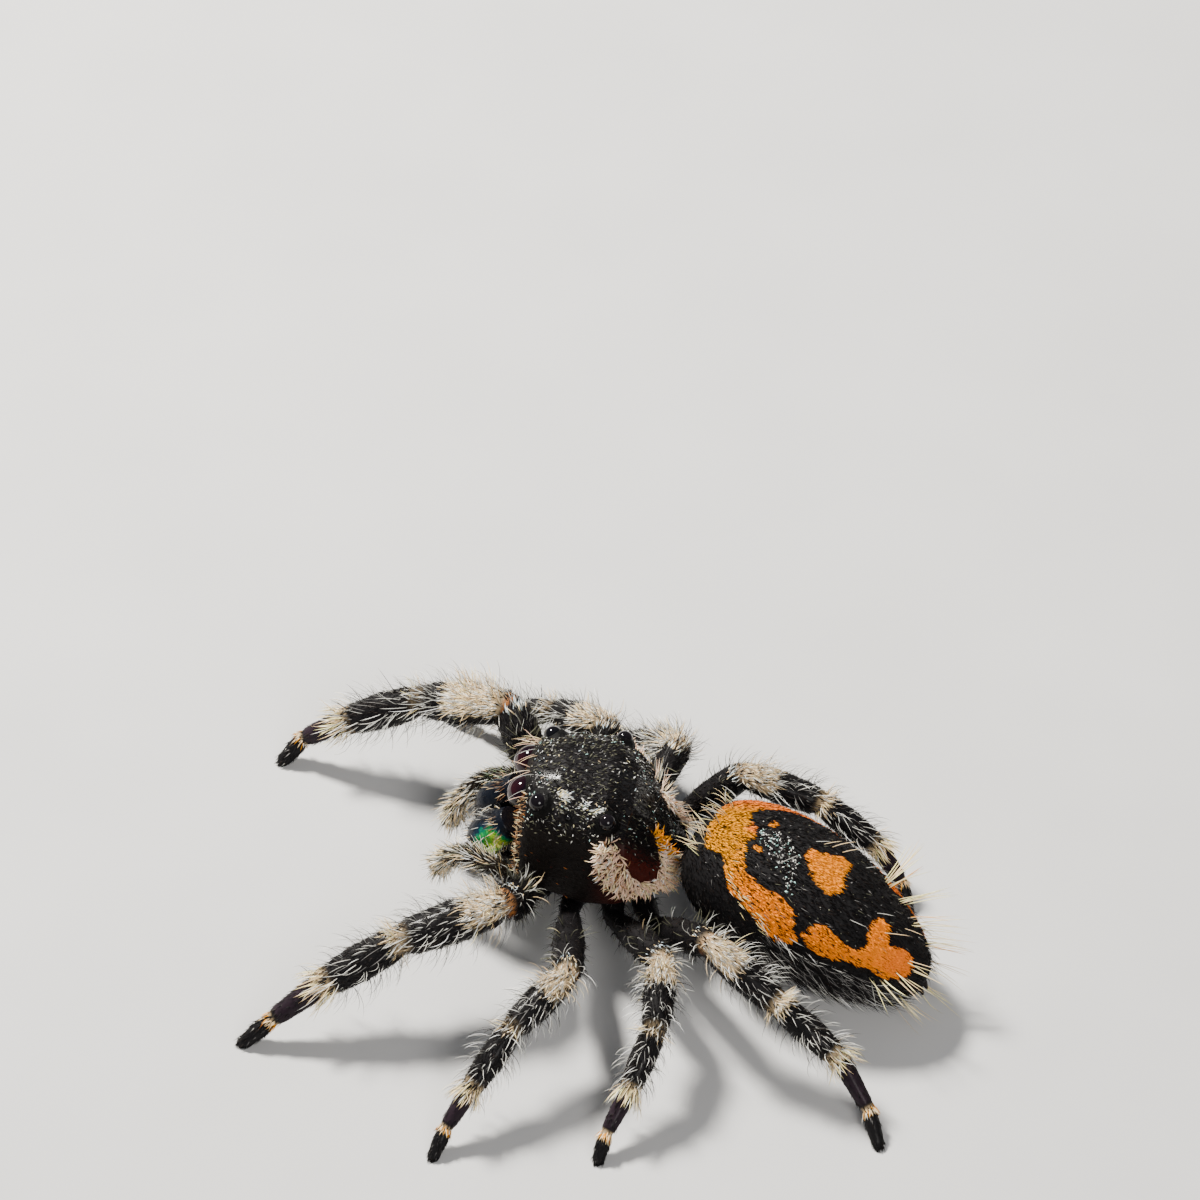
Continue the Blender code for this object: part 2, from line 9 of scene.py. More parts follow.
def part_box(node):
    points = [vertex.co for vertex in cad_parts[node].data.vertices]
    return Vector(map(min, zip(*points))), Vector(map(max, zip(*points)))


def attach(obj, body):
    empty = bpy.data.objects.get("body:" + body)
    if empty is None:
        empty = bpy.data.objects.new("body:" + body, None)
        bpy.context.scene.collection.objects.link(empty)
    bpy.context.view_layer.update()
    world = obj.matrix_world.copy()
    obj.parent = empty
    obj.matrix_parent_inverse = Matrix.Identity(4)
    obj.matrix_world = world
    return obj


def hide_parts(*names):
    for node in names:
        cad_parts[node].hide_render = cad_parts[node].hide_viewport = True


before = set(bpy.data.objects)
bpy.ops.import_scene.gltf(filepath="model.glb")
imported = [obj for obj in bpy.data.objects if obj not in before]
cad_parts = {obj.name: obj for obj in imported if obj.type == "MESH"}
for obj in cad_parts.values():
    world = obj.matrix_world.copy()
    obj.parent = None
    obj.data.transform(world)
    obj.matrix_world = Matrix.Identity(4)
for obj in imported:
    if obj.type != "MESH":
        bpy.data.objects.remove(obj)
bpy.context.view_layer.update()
mm = 0.001
up = np.array((0.0, 0.0, 1.0))
sides = (("left", 1.0), ("right", -1.0))
lowest = {"skin": 0.012, "hair": 0.006}  # how near the ground a skin and a hair come, in millimetres


# ---- colours, linear ----
colours = {
    "black": (0.004, 0.0035, 0.004),
    "brownBlack": (0.012, 0.008, 0.0065),
    "redBrown": (0.06, 0.009, 0.006),
    "purpleBlack": (0.018, 0.01, 0.016),
    "grey": (0.16, 0.155, 0.15),
    "paleGrey": (0.56, 0.56, 0.52),
    "white": (0.95, 0.93, 0.86),
    "cream": (0.96, 0.72, 0.42),
    "pinkCream": (1.0, 0.66, 0.48),
    "yellowWhite": (1.0, 0.84, 0.42),
    "golden": (0.74, 0.285, 0.0),
    "orange": (0.98, 0.255, 0.0),
    "pinkOrange": (0.98, 0.205, 0.03),
    "amber": (0.42, 0.14, 0.025),
    "tan": (0.3, 0.15, 0.065),
    "hornBrown": (0.022, 0.008, 0.005),
    "blueWhite": (0.62, 0.74, 0.8),
    "olive": (0.13, 0.13, 0.09),
    "teal": (0.5, 0.85, 0.78),
}
colours = {name: np.array(rgb) for name, rgb in colours.items()}


def shade(name, count):
    return np.tile(colours[name], (count, 1))


# ---- the body's own frames: x runs back, y to the spider's left, z up ----
def bodyFrame(origin, heading, lift):
    turn = Matrix.Rotation(math.radians(-heading), 4, "Z")
    nod = Matrix.Rotation(math.radians(lift), 4, "Y")
    mirror = Matrix.Diagonal((1.0, -1.0, 1.0, 1.0))
    return np.array(Matrix.Translation(Vector(origin)) @ turn @ nod @ mirror)


def place(bodyMatrix, points):
    return np.asarray(points, float) @ bodyMatrix[:3, :3].T + bodyMatrix[:3, 3]


def soften(values, half):
    # a row of values drawn through a soft window, its ends carried on straight
    kernel = np.hanning(2 * half + 1)
    before, after = 2 * values[0] - values[half:0:-1], 2 * values[-1] - values[-2:-half - 2:-1]
    return np.convolve(np.concatenate((before, values, after)), kernel / kernel.sum(), "valid")


def smoothProfile(stations, rows=301, blur=9):
    # stations of (place, value) made into a dense table without corners
    xs = np.linspace(0.0, 1.0, rows)
    return xs, soften(np.interp(xs, *zip(*stations)), blur)


def superRound(angle, power):
    c, s = np.cos(angle), np.sin(angle)
    side = np.sign(c) * np.abs(c) ** (2.0 / power)
    rise = np.sign(s) * np.abs(s) ** (2.0 / power)
    return side, rise


def smoothStep(x):
    x = np.clip(x, 0.0, 1.0)
    return x * x * (3.0 - 2.0 * x)


def near(t, centre, halfWidth, soft=0.05):
    return smoothStep((halfWidth + soft - np.abs(t - centre)) / (2 * soft))


def leanOf(angle):
    # how far a place lies from the top midline, left side positive
    return (np.pi / 2 - angle + np.pi) % (2 * np.pi) - np.pi


carapace = {
    "frame": bodyFrame((-1.85, 1.21, 1.45), 9.0, 9.0),
    "length": 2.66, "halfWidth": 1.4, "height": 1.76, "floor": 0.16, "lean": 0.16,
    "widths": smoothProfile((
        (0.0, 0.7), (0.04, 0.78), (0.2, 0.88), (0.45, 0.95),
        (0.62, 0.88), (0.8, 0.68), (0.93, 0.43), (1.0, 0.22),
    )),
    "heights": smoothProfile((
        (0.0, 0.78), (0.04, 0.88), (0.2, 0.97), (0.46, 1.0),
        (0.6, 0.88), (0.78, 0.55), (0.93, 0.28), (1.0, 0.2),
    )),
    "squareness": smoothProfile(((0.0, 2.6), (0.45, 2.7), (0.8, 2.2), (1.0, 2.0))),
}
abdomen = {
    "frame": bodyFrame((2.67, -0.52, 1.43), 30.0, 15.5),
    "length": 4.3, "halfWidth": 1.2, "top": 1.07, "belly": 1.15, "sag": 0.1,
    "fullness": 0.41, "forward": 0.79, "taper": 0.02, "squareness": 2.1,
}
eyes = {  # place back from the face, out from the middle and up, and the radius
    "anterior_median": ((-0.1, 0.335, 1.1), 0.285),
    "anterior_lateral": ((0.14, 0.73, 1.4), 0.165),
    "posterior_median": ((0.66, 0.9, 1.4), 0.055),
    "posterior_lateral": ((1.26, 0.9, 1.49), 0.15),
}
headTurn = carapace["frame"][:3, :3]


def onHead(x, y, z):
    return place(carapace["frame"], np.stack((x, y, z), -1))


def eyeCentre(eye, sign):
    back, out, rise = eyes[eye][0]
    return onHead(back, out * sign, rise)


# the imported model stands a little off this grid, so one eye says by how much
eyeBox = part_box("eye_anterior_median_left")
shift = np.array((eyeBox[0] + eyeBox[1]) / 2.0) / mm - eyeCentre("anterior_median", 1.0)


def metres(points):
    return (np.asarray(points, float) + shift) * mm


def carapacePoint(t, angle):
    side, rise = superRound(angle, np.interp(t, *carapace["squareness"]))
    x = t * carapace["length"] - carapace["lean"] * np.maximum(rise, 0.0) * (1.0 - t) ** 3
    y = side * carapace["halfWidth"] * np.interp(t, *carapace["widths"])
    height = carapace["height"] * np.interp(t, *carapace["heights"])
    return onHead(x, y, rise * np.where(rise > 0.0, height, carapace["floor"]))


def abdomenGirth(t):
    t = np.clip(t, 0.0, 1.0)
    girth = np.maximum(np.sin(np.pi * t ** abdomen["forward"]), 0.0) ** abdomen["fullness"]
    return girth * (1.0 - abdomen["taper"] * smoothStep((t - 0.6) / 0.4))


def abdomenPoint(t, angle):
    t = np.clip(t, 0.0, 1.0)
    girth = abdomenGirth(t)
    side, rise = superRound(angle, abdomen["squareness"])
    depth = np.where(rise > 0.0, abdomen["top"], abdomen["belly"])
    sag = abdomen["sag"] * smoothStep((t - 0.5) / 0.5)
    x = (t - 0.5) * abdomen["length"]
    y = side * abdomen["halfWidth"] * girth
    return place(abdomen["frame"], np.stack((x, y, rise * depth * girth - sag), -1))


# ---- legs, palps and jaws: a centre line with a radius, t counts the joints ----
def makeLimb(joints, thickness, rounding=4, perSpan=40):
    joints = np.array(joints, float)
    spans = len(joints) - 1
    t = np.linspace(0.0, spans, spans * perSpan + 1)
    centre = np.stack([soften(np.interp(t, range(spans + 1), column), rounding) for column in joints.T], -1)
    run = np.gradient(centre, axis=0)
    run /= np.linalg.norm(run, axis=1, keepdims=True)
    side = np.cross(run, up)
    side /= np.linalg.norm(side, axis=1, keepdims=True)
    rise = np.cross(side, run)
    soft = np.hanning(7)[1:-1] / np.hanning(7)[1:-1].sum()
    radius = np.convolve(np.pad(np.interp(t, *zip(*thickness)), 2, "edge"), soft, "valid")
    return {"t": t, "spans": spans, "table": np.concatenate((centre, side, rise, radius[:, None]), 1)}


def limbSurface(limb):
    def surface(t, angle):
        t = np.clip(t, 0.0, limb["spans"])
        row = np.stack([np.interp(t, limb["t"], column) for column in limb["table"].T], -1)
        ring = np.cos(angle)[..., None] * row[..., 3:6] + np.sin(angle)[..., None] * row[..., 6:9]
        points = row[..., :3] + ring * row[..., 9:10]
        points[..., 2] = np.maximum(points[..., 2], lowest["skin"])
        return points
    return surface


def surfaceFrame(surface, t, angle, step=0.012):
    here = surface(t, angle)
    alongT = (surface(t + step, angle) - surface(t - step, angle)) / (2 * step)
    around = (surface(t, angle + step) - surface(t, angle - step)) / (2 * step)
    normal = np.cross(around, alongT)
    area = np.linalg.norm(normal, axis=-1)
    normal /= np.maximum(area, 1e-9)[:, None]
    middle = (here + surface(t, angle + np.pi)) / 2.0
    normal *= np.where((normal * (here - middle)).sum(-1) < 0.0, -1.0, 1.0)[:, None]
    lie = alongT - normal * (alongT * normal).sum(-1, keepdims=True)
    lie /= np.maximum(np.linalg.norm(lie, axis=-1), 1e-9)[:, None]
    return here, normal, lie, area


# ---- skins: a grid wrapped round a surface ----
def wrapSkin(name, surface, span, around, along, tint, caps=(0.0, 0.0), ease=None, displace=None):
    mesh = bmesh.new()
    mesh.loops.layers.uv.new("UVMap")
    bmesh.ops.create_grid(mesh, x_segments=around, y_segments=along, size=0.5, calc_uvs=True)
    u, v = (np.array([vert.co[:2] for vert in mesh.verts]) + 0.5).T
    angle = 2 * np.pi * u
    body = np.clip((v - caps[0]) / (1.0 - caps[0] - caps[1]), 0.0, 1.0)
    share = np.ones_like(v)
    for cap, inCap, depth in ((caps[0], v < caps[0], v), (caps[1], v > 1 - caps[1], 1 - v)):
        if cap:
            share[inCap] = np.sin(0.5 * np.pi * depth[inCap] / cap) ** 0.7
    t = span[0] + (span[1] - span[0]) * (ease(body) if ease else body)
    middle = (surface(t, np.zeros_like(t)) + surface(t, np.full_like(t, np.pi))) / 2.0
    points = middle + (surface(t, angle) - middle) * share[:, None]
    if displace is not None:
        points = displace(points, t, angle)
    rows = tint(t, angle)
    if rows.shape[1] == 3:
        rows = np.column_stack((rows, np.ones(len(rows))))
    tintLayer = mesh.verts.layers.float_color.new("tint")
    for vert, point, row in zip(mesh.verts, metres(points), rows):
        vert.co = point
        vert[tintLayer] = row
    bmesh.ops.remove_doubles(mesh, verts=mesh.verts, dist=0.0005 * mm)
    bmesh.ops.recalc_face_normals(mesh, faces=mesh.faces)
    return pieceFrom(mesh, name)


def addObject(name, data):
    added = bpy.data.objects.new(name, data)
    bpy.context.scene.collection.objects.link(added)
    return added


def pieceFrom(mesh, name):
    data = bpy.data.meshes.new(name)
    mesh.to_mesh(data)
    mesh.free()
    data.shade_smooth()
    return addObject(name, data)


# ---- coats: each hair is a tapered, bent, three-sided body, and all hairs of a coat are one mesh ----
def hairFaces(rings):
    faces = [(0, 2, 1)]
    for k in range(rings - 1):
        for i, j in ((0, 1), (1, 2), (2, 0)):
            low, high = 3 * k, 3 * k + 3
            faces += [(low + i, low + j, high + j), (low + i, high + j, high + i)]
    last = 3 * (rings - 1)
    faces += [(last + i, last + j, 3 * rings) for i, j in ((0, 1), (1, 2), (2, 0))]
    return np.array(faces)


def everywhere(t, angle):
    return 1.0


class Coat:
    # the hairs of one piece, grown group by group, all drawn from one seed
    steps = (0.7548776662466927, 0.5698402909980532)  # of an even sequence over a square
    tries = 5  # places looked at for each one that is kept
    patch = 0.003  # of the unwrap, for each hair

    def __init__(self, surface, seed, span=(0.0, 1.0)):
        self.surface = surface
        self.draw = np.random.default_rng(seed)
        self.span = span
        self.parts = []
        self.size = 0

    def scatter(self, count, reach, density=everywhere):
        # an even sequence of places, thinned where the surface or the coat has less room
        total = count * self.tries
        k = np.arange(total) + self.draw.integers(1, 9999)
        t = reach[0] + (reach[1] - reach[0]) * ((self.steps[0] * k) % 1.0)
        angle = 2 * np.pi * ((self.steps[1] * k) % 1.0)
        weight = surfaceFrame(self.surface, t, angle)[3] * density(t, angle)
        keep = self.draw.random(total) < weight * (count / max(weight.sum(), 1e-9))
        return t[keep], angle[keep]

    def mix(self, shares, count, spread):
        # each hair takes one of the colours, by its share, and its own brightness
        table = np.array([colours[name] for name in shares])
        rows = np.stack([np.broadcast_to(np.asarray(share, float), count) for share in shares.values()], -1)
        edges = np.cumsum(rows / rows.sum(1, keepdims=True), axis=1)
        pick = (self.draw.random(count)[:, None] > edges).sum(1).clip(0, len(table) - 1)
        bright = self.draw.uniform(1.0 - spread, 1.0 + spread, count)[:, None]
        return np.clip(table[pick] * bright, 0.0, 1.0)

    def strew(self, count, reach, density, colour, spread=0.25, **style):
        self.grow(*self.scatter(count, reach, density), colour, spread, **style)

    def grow(self, t, angle, colour, spread=0.25, *, length, width, stand, swirl=14.0, unruly=6.0,
             rings=2, flat=0.5, sink=0.02, taper=1.6, fade=0.5, toward=1.0, away=None):
        draw, count = self.draw, len(t)
        if isinstance(colour, dict):
            colour = self.mix(colour, count, spread)
        root, normal, lie, _ = surfaceFrame(self.surface, t, angle)
        swirl = np.radians(swirl) * draw.normal(0.0, 1.0, count)
        if away is not None:  # hairs that spread from a point of the body
            lie = root - away
            lie = lie - normal * (lie * normal).sum(-1, keepdims=True)
            lie /= np.linalg.norm(lie, axis=1, keepdims=True)
        across = np.cross(normal, lie)
        lie = toward * lie * np.cos(swirl)[:, None] + across * np.sin(swirl)[:, None]
        across = np.cross(normal, lie)
        length = draw.uniform(*length, count)
        width = width * draw.uniform(0.8, 1.2, count)
        rootLean = np.radians(stand[0] + draw.normal(0.0, unruly, count))
        tipLean = np.radians(stand[1] + draw.normal(0.0, unruly, count))
        # the unwrap runs round the limb and along it, and a hair is a small patch at its root's place
        u = 0.01 + 0.98 * ((angle / (2 * np.pi)) % 1.0)
        v = 0.01 + 0.98 * np.clip((t - self.span[0]) / (self.span[1] - self.span[0]), 0.0, 1.0)
        each = 3 * rings + 1
        verts, uv = np.zeros((count, each, 3)), np.zeros((count, each, 2))
        shares = np.linspace(0.0, 1.0, rings + 1)
        point = root - normal * sink
        for k, share in enumerate(shares):
            lean = (rootLean + (tipLean - rootLean) * share)[:, None]
            rise = normal * np.cos(lean) - lie * np.sin(lean)
            half = (0.5 * width * (1.0 - share ** taper) ** 0.8)[:, None]
            corners = ((-across * half, -0.5), (across * half, 0.5), (rise * (2 * half * flat), 0.0))
            if k == rings:
                corners = ((0.0, 0.0),)
            for row, (off, aside) in enumerate(corners, 3 * k):
                verts[:, row] = point + off
                uv[:, row, 0] = u + self.patch * aside * (1.0 - 0.8 * share)
                uv[:, row, 1] = v + self.patch * (share - 0.5)
            point = point + (lie * np.cos(lean) + normal * np.sin(lean)) * (length / rings)[:, None]
        verts[..., 2] = np.maximum(verts[..., 2], lowest["hair"])
        # painted shade: each hair is darkened towards its root, where the coat around it shades it
        fades = np.append(np.repeat(fade + (1.0 - fade) * np.minimum(1.8 * shares[:-1], 1.0), 3), 1.0)
        tints = colour[:, None, :] * fades[None, :, None]
        faces = hairFaces(rings)[None] + (self.size + each * np.arange(count))[:, None, None]
        self.parts.append([rows.reshape(-1, rows.shape[-1]) for rows in (verts, faces, tints, uv)])
        self.size += count * each

    def finish(self, name, look):
        verts, faces, tints, uvs = (np.concatenate(rows) for rows in zip(*self.parts))
        data = bpy.data.meshes.new(name)
        data.vertices.add(len(verts))
        data.vertices.foreach_set("co", metres(verts).astype(np.float32).ravel())
        data.loops.add(faces.size)
        data.loops.foreach_set("vertex_index", faces.astype(np.int32).ravel())
        data.polygons.add(len(faces))
        data.polygons.foreach_set("loop_start", np.arange(0, faces.size, 3, dtype=np.int32))
        data.update(calc_edges=True)
        data.shade_smooth()
        tint = data.color_attributes.new(name="tint", type="FLOAT_COLOR", domain="POINT")
        rgba = np.concatenate((tints, np.ones((len(tints), 1))), 1)
        tint.data.foreach_set("color", rgba.astype(np.float32).ravel())
        layer = data.uv_layers.new(name="OFBake")
        layer.data.foreach_set("uv", uvs[faces.ravel()].astype(np.float32).ravel())
        print("coat", name, len(faces), "triangles")
        finishPiece(addObject(name, data), look)


# ---- shader maths ----
class Wire:
    def __init__(self, look, socket):
        self.look = look
        self.socket = socket

    def maths(self, operation, first, second):
        return self.look.node("ShaderNodeMath", {"operation": operation}, {0: first, 1: second})

    def __add__(self, other):
        return self.maths("ADD", self, other)

    __radd__ = __add__

    def __sub__(self, other):
        return self.maths("SUBTRACT", self, other)

    def __rsub__(self, other):
        return self.maths("SUBTRACT", other, self)

    def __mul__(self, other):
        return self.maths("MULTIPLY", self, other)

    __rmul__ = __mul__


class Look:
    def __init__(self, name, constants):
        self.material = bpy.data.materials.new(name)
        self.material.use_nodes = True
        self.tree = self.material.node_tree
        self.shader = self.tree.nodes["Principled BSDF"]
        for socket, value in constants.items():
            self.shader.inputs[socket].default_value = value

    def node(self, kind, settings, sockets, out=0):
        made = self.tree.nodes.new(kind)
        for key, value in settings.items():
            if key == "stops":
                ramp = made.color_ramp
                while len(ramp.elements) < len(value):
                    ramp.elements.new(1.0)
                for element, (position, rgb) in zip(ramp.elements, value):
                    element.position = position
                    element.color = (*rgb, 1.0)
            else:
                setattr(made, key, value)
        for socket, value in sockets.items():
            self.feed(made.inputs[socket], value)
        return Wire(self, made.outputs[out])

    def feed(self, socket, value):
        if isinstance(value, Wire):
            self.tree.links.new(value.socket, socket)
        else:
            socket.default_value = value

    def surface(self, sockets):
        for socket, value in sockets.items():
            self.feed(self.shader.inputs[socket], value)
        return self.material

    def mix(self, factor, first, second, blend="MIX"):
        settings = {"data_type": "RGBA", "blend_type": blend}
        return self.node("ShaderNodeMix", settings, {0: factor, 6: first, 7: second}, out=2)

    def place(self):
        # object coordinates counted in millimetres
        where = self.node("ShaderNodeTexCoord", {}, {}, out="Object")
        return self.node("ShaderNodeVectorMath", {"operation": "SCALE"}, {0: where, "Scale": 1.0 / mm})

    def noise(self, scale, detail=3.0):
        sockets = {"Vector": self.place(), "Scale": scale, "Detail": detail, "Roughness": 0.55}
        return self.node("ShaderNodeTexNoise", {}, sockets, out="Fac")

    def flakes(self, scale):
        return self.node("ShaderNodeTexVoronoi", {}, {"Vector": self.place(), "Scale": scale}, out="Distance")

    def ramp(self, factor, stops):
        return self.node("ShaderNodeValToRGB", {"stops": stops}, {0: factor})

    def tint(self, out="Color"):
        return self.node("ShaderNodeAttribute", {"attribute_name": "tint"}, {}, out=out)

    def bump(self, height, strength, distance):
        sockets = {"Strength": strength, "Distance": distance * mm, "Height": height}
        return self.node("ShaderNodeBump", {}, sockets)


def grey(value):
    return (value, value, value)


def makeHairLook(name, roughness, gloss, streak=0.72):
    look = Look(name, {"Specular IOR Level": gloss})
    streaks = look.ramp(look.noise(18.0), ((0.35, grey(streak)), (0.65, grey(1.0))))
    colour = look.mix(1.0, look.tint(), streaks, blend="MULTIPLY")
    fine = look.noise(60.0)
    return look.surface({"Base Color": colour, "Roughness": roughness + 0.18 * fine,
                         "Normal": look.bump(fine, 0.25, 0.004)})


def makeSkinLook(name, roughness, gloss, coat=0.0, grain=26.0, depth=0.012):
    look = Look(name, {"Coat Roughness": 0.1, "Specular IOR Level": gloss})
    cells = look.flakes(grain)
    cloud = look.noise(7.0, detail=5.0)
    mottle = look.ramp(cloud, ((0.3, grey(0.65)), (0.7, grey(1.15))))
    colour = look.mix(1.0, look.tint(), mottle, blend="MULTIPLY")
    height = cells * 0.7 + look.noise(42.0) * 0.5
    polish = look.tint(out="Alpha")  # where the cuticle is bare and polished
    return look.surface({"Base Color": colour, "Roughness": roughness + 0.25 * cloud,
                         "Coat Weight": coat * polish, "Normal": look.bump(height, 0.6, depth)})


def makeEyeLook(name, colour, rim):
    look = Look(name, {"Coat Weight": 0.45, "Coat Roughness": 0.04, "Coat IOR": 1.35,
                       "Specular IOR Level": 0.12})
    cloud = look.ramp(look.noise(3.0, detail=2.0), ((0.4, grey(0.0)), (0.62, grey(1.0))))
    mixed = look.mix(cloud, (*colour, 1.0), (*rim, 1.0))
    return look.surface({"Base Color": mixed, "Roughness": 0.05 + 0.05 * look.noise(20.0),
                         "Normal": look.bump(look.noise(24.0), 0.05, 0.002)})


def makeCheliceraLook():
    look = Look("iridescentGreen", {"Coat Weight": 0.12, "Coat Roughness": 0.1, "Specular IOR Level": 0.1})
    paintedSheen = look.node("ShaderNodeSeparateColor", {}, {0: look.tint()}, out="Red")
    flakes = look.flakes(15.0)
    cloud = look.noise(4.0, detail=3.0)
    # the painted sheen from the tint, broken up by cloud and flakes, picks the green and the metal
    sheen = paintedSheen + (cloud - 0.5) * 0.5 + (0.4 - flakes) * 0.25
    greens = look.ramp(sheen, (
        (0.08, (0.002, 0.003, 0.006)), (0.32, (0.002, 0.012, 0.025)), (0.46, (0.002, 0.13, 0.07)),
        (0.66, (0.02, 0.42, 0.09)), (0.84, (0.35, 0.75, 0.04)), (1.0, (0.85, 0.9, 0.12)),
    ))
    metal = look.ramp(sheen, ((0.38, grey(0.0)), (0.6, grey(0.85))))
    return look.surface({"Base Color": greens, "Metallic": metal, "Roughness": 0.22 + 0.2 * flakes,
                         "Normal": look.bump(look.noise(30.0) + flakes, 0.5, 0.01)})


looks = {
    "hair": makeHairLook("bristleCoat", 0.45, 0.12, streak=0.8),
    "headHair": makeHairLook("headCoat", 0.45, 0.08, streak=0.85),
    "velvet": makeHairLook("velvetCoat", 0.6, 0.07),
    "orange": makeHairLook("orangeScales", 0.6, 0.04, streak=0.94),
    "cuticle": makeSkinLook("legCuticle", 0.45, coat=0.05, gloss=0.08),
    "shell": makeSkinLook("carapaceShell", 0.42, coat=0.45, grain=11.0, depth=0.045, gloss=0.08),
    "velvetSkin": makeSkinLook("abdomenSkin", 0.65, grain=30.0, gloss=0.15),
    "eye": makeEyeLook("eyeLens", (0.002, 0.002, 0.003), (0.004, 0.003, 0.004)),
    "frontEye": makeEyeLook("frontEyeLens", (0.003, 0.001, 0.003), (0.012, 0.002, 0.004)),
    "chelicera": makeCheliceraLook(),
}
root = "root"


def finishPiece(piece, look, nodes=()):
    piece.data.materials.clear()
    piece.data.materials.append(looks[look])
    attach(piece, root)
    if nodes:
        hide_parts(*nodes)


# ---- carapace ----
# the pale band down each side, back along the margin and up the rear slope: place, angle, radius
uBand = (
    (0.535, 0.56, 0.21), (0.555, 0.46, 0.26), (0.59, 0.36, 0.25), (0.64, 0.27, 0.2), (0.7, 0.21, 0.17),
    (0.76, 0.2, 0.15), (0.81, 0.22, 0.15), (0.865, 0.28, 0.145), (0.9, 0.48, 0.14), (0.88, 0.78, 0.13),
    (0.84, 1.02, 0.12), (0.79, 1.17, 0.1),
)


def bandDistance(t, angle):
    # millimetres to the band's edge, below zero inside it; both sides share it, so the angle is folded
    turned = angle % (2 * np.pi)
    folded = np.where(turned > np.pi / 2, np.pi - turned, turned)
    folded = np.where(turned > 1.5 * np.pi, turned - 2 * np.pi, folded)
    scaleT, scaleA = carapace["length"], 1.35
    x, y = t * scaleT, folded * scaleA
    best = np.full(len(x), 1e9)
    for (t0, a0, r0), (t1, a1, r1) in zip(uBand, uBand[1:]):
        dx, dy = (t1 - t0) * scaleT, (a1 - a0) * scaleA
        px, py = x - t0 * scaleT, y - a0 * scaleA
        f = np.clip((px * dx + py * dy) / (dx * dx + dy * dy), 0.0, 1.0)
        best = np.minimum(best, np.hypot(px - f * dx, py - f * dy) - (r0 + (r1 - r0) * f))
    return best


def eyeNearness(points):
    # 1 at an eye's rim and 0 from about two radii out
    best = np.zeros(len(points))
    for eye, (_, radius) in eyes.items():
        for sign in (1.0, -1.0):
            gap = np.linalg.norm(points - eyeCentre(eye, sign), axis=1)
            best = np.maximum(best, smoothStep((2.0 * radius - gap) / (0.8 * radius)))
    return best


def carapaceTint(t, angle):
    top = smoothStep((np.sin(angle) - 0.55) / 0.25)
    rear = smoothStep((t - 0.42) / 0.25) * (0.12 + 0.88 * smoothStep((np.sin(angle) + 0.1) / 0.25))
    face = smoothStep((0.035 - t) / 0.02)
    side = colours["brownBlack"] * 0.35 * (1 - rear)[:, None]
    side = side + colours["redBrown"] * 0.7 * rear[:, None]
    tone = side * (1 - top)[:, None] + colours["black"] * top[:, None]
    tone = tone * (1 - face)[:, None] + 0.9 * colours["brownBlack"] * face[:, None]
    dark = eyeNearness(carapacePoint(t, angle))
    tone = tone * (1 - 0.8 * dark[:, None])
    polish = (0.94 * top * (1 - face) + 0.25 * rear) * (1 - np.minimum(4.0 * dark, 1.0))
    return np.column_stack((tone, np.clip(0.04 + polish, 0.0, 1.0)))


def eyeFacing(sign):
    return headTurn @ np.array((-1.0, 0.15 * sign, 0.1))


def eyeCollars(points, t, angle):
    # the shell rises in a collar round each eye, so that the eye sits in it
    middle = onHead(1.2, 0.0, 0.5)
    for eye, (_, radius) in eyes.items():
        for sign in (1.0, -1.0):
            centre = eyeCentre(eye, sign)
            out = centre - middle
            if eye == "anterior_median":
                out = eyeFacing(sign)
            out = out / np.linalg.norm(out)
            gap = points - centre
            height = gap @ out
            spread = np.linalg.norm(gap - height[:, None] * out, axis=1)
            rim = (0.05 if eye == "anterior_median" else 0.18) * radius
            share = smoothStep((1.5 * radius - spread) / (0.55 * radius)) * (height > -2.0 * radius)
            points = points + out * (np.maximum(rim - height, 0.0) * share)[:, None]
    return points


shell = wrapSkin("carapaceShell", carapacePoint, (0.0, 1.0), 170, 150, carapaceTint,
                 caps=(0.14, 0.06), displace=eyeCollars)
finishPiece(shell, "shell", ["carapace"])
print("carapace shell done")


def facePoint(t, angle):
    # the flat front of the head: t runs from its rim to its middle
    front = np.zeros_like(t)
    middle = (carapacePoint(front, front) + carapacePoint(front, np.full_like(t, np.pi))) / 2.0
    return middle + (carapacePoint(front, angle) - middle) * (1.0 - np.clip(t, 0.0, 0.999))[:, None]


def faceCoat():
    coat = Coat(facePoint, 17)

    def dress(count, density, colour, **style):
        def clear(t, a):
            return density(t, a) * (1 - eyeNearness(facePoint(t, a)) ** 4)
        coat.strew(count, (0.0, 0.93), clear, colour, 0.3, away=onHead(0.0, 0.0, 1.9), **style)

    def fringed(t, a):
        return smoothStep((0.15 - np.sin(a)) / 0.3) * (t < 0.9)

    def atRims(t, a):
        return np.maximum(0.0, eyeNearness(facePoint(t, a)) - 0.05) * (np.sin(a) > -0.1)

    dress(3000, everywhere, {"tan": 5, "amber": 0.7, "brownBlack": 4, "cream": 1.3},
          length=(0.09, 0.16), width=0.012, stand=(24, 6), swirl=16)
    dress(700, fringed, {"cream": 4, "white": 3, "tan": 2.5},
          length=(0.16, 0.32), width=0.013, stand=(34, 8), rings=3, swirl=16)
    dress(380, atRims, {"cream": 2, "tan": 4, "amber": 3, "white": 1},
          length=(0.08, 0.14), width=0.012, stand=(34, 10), swirl=24)
    coat.finish("faceCoat", "headHair")


faceCoat()


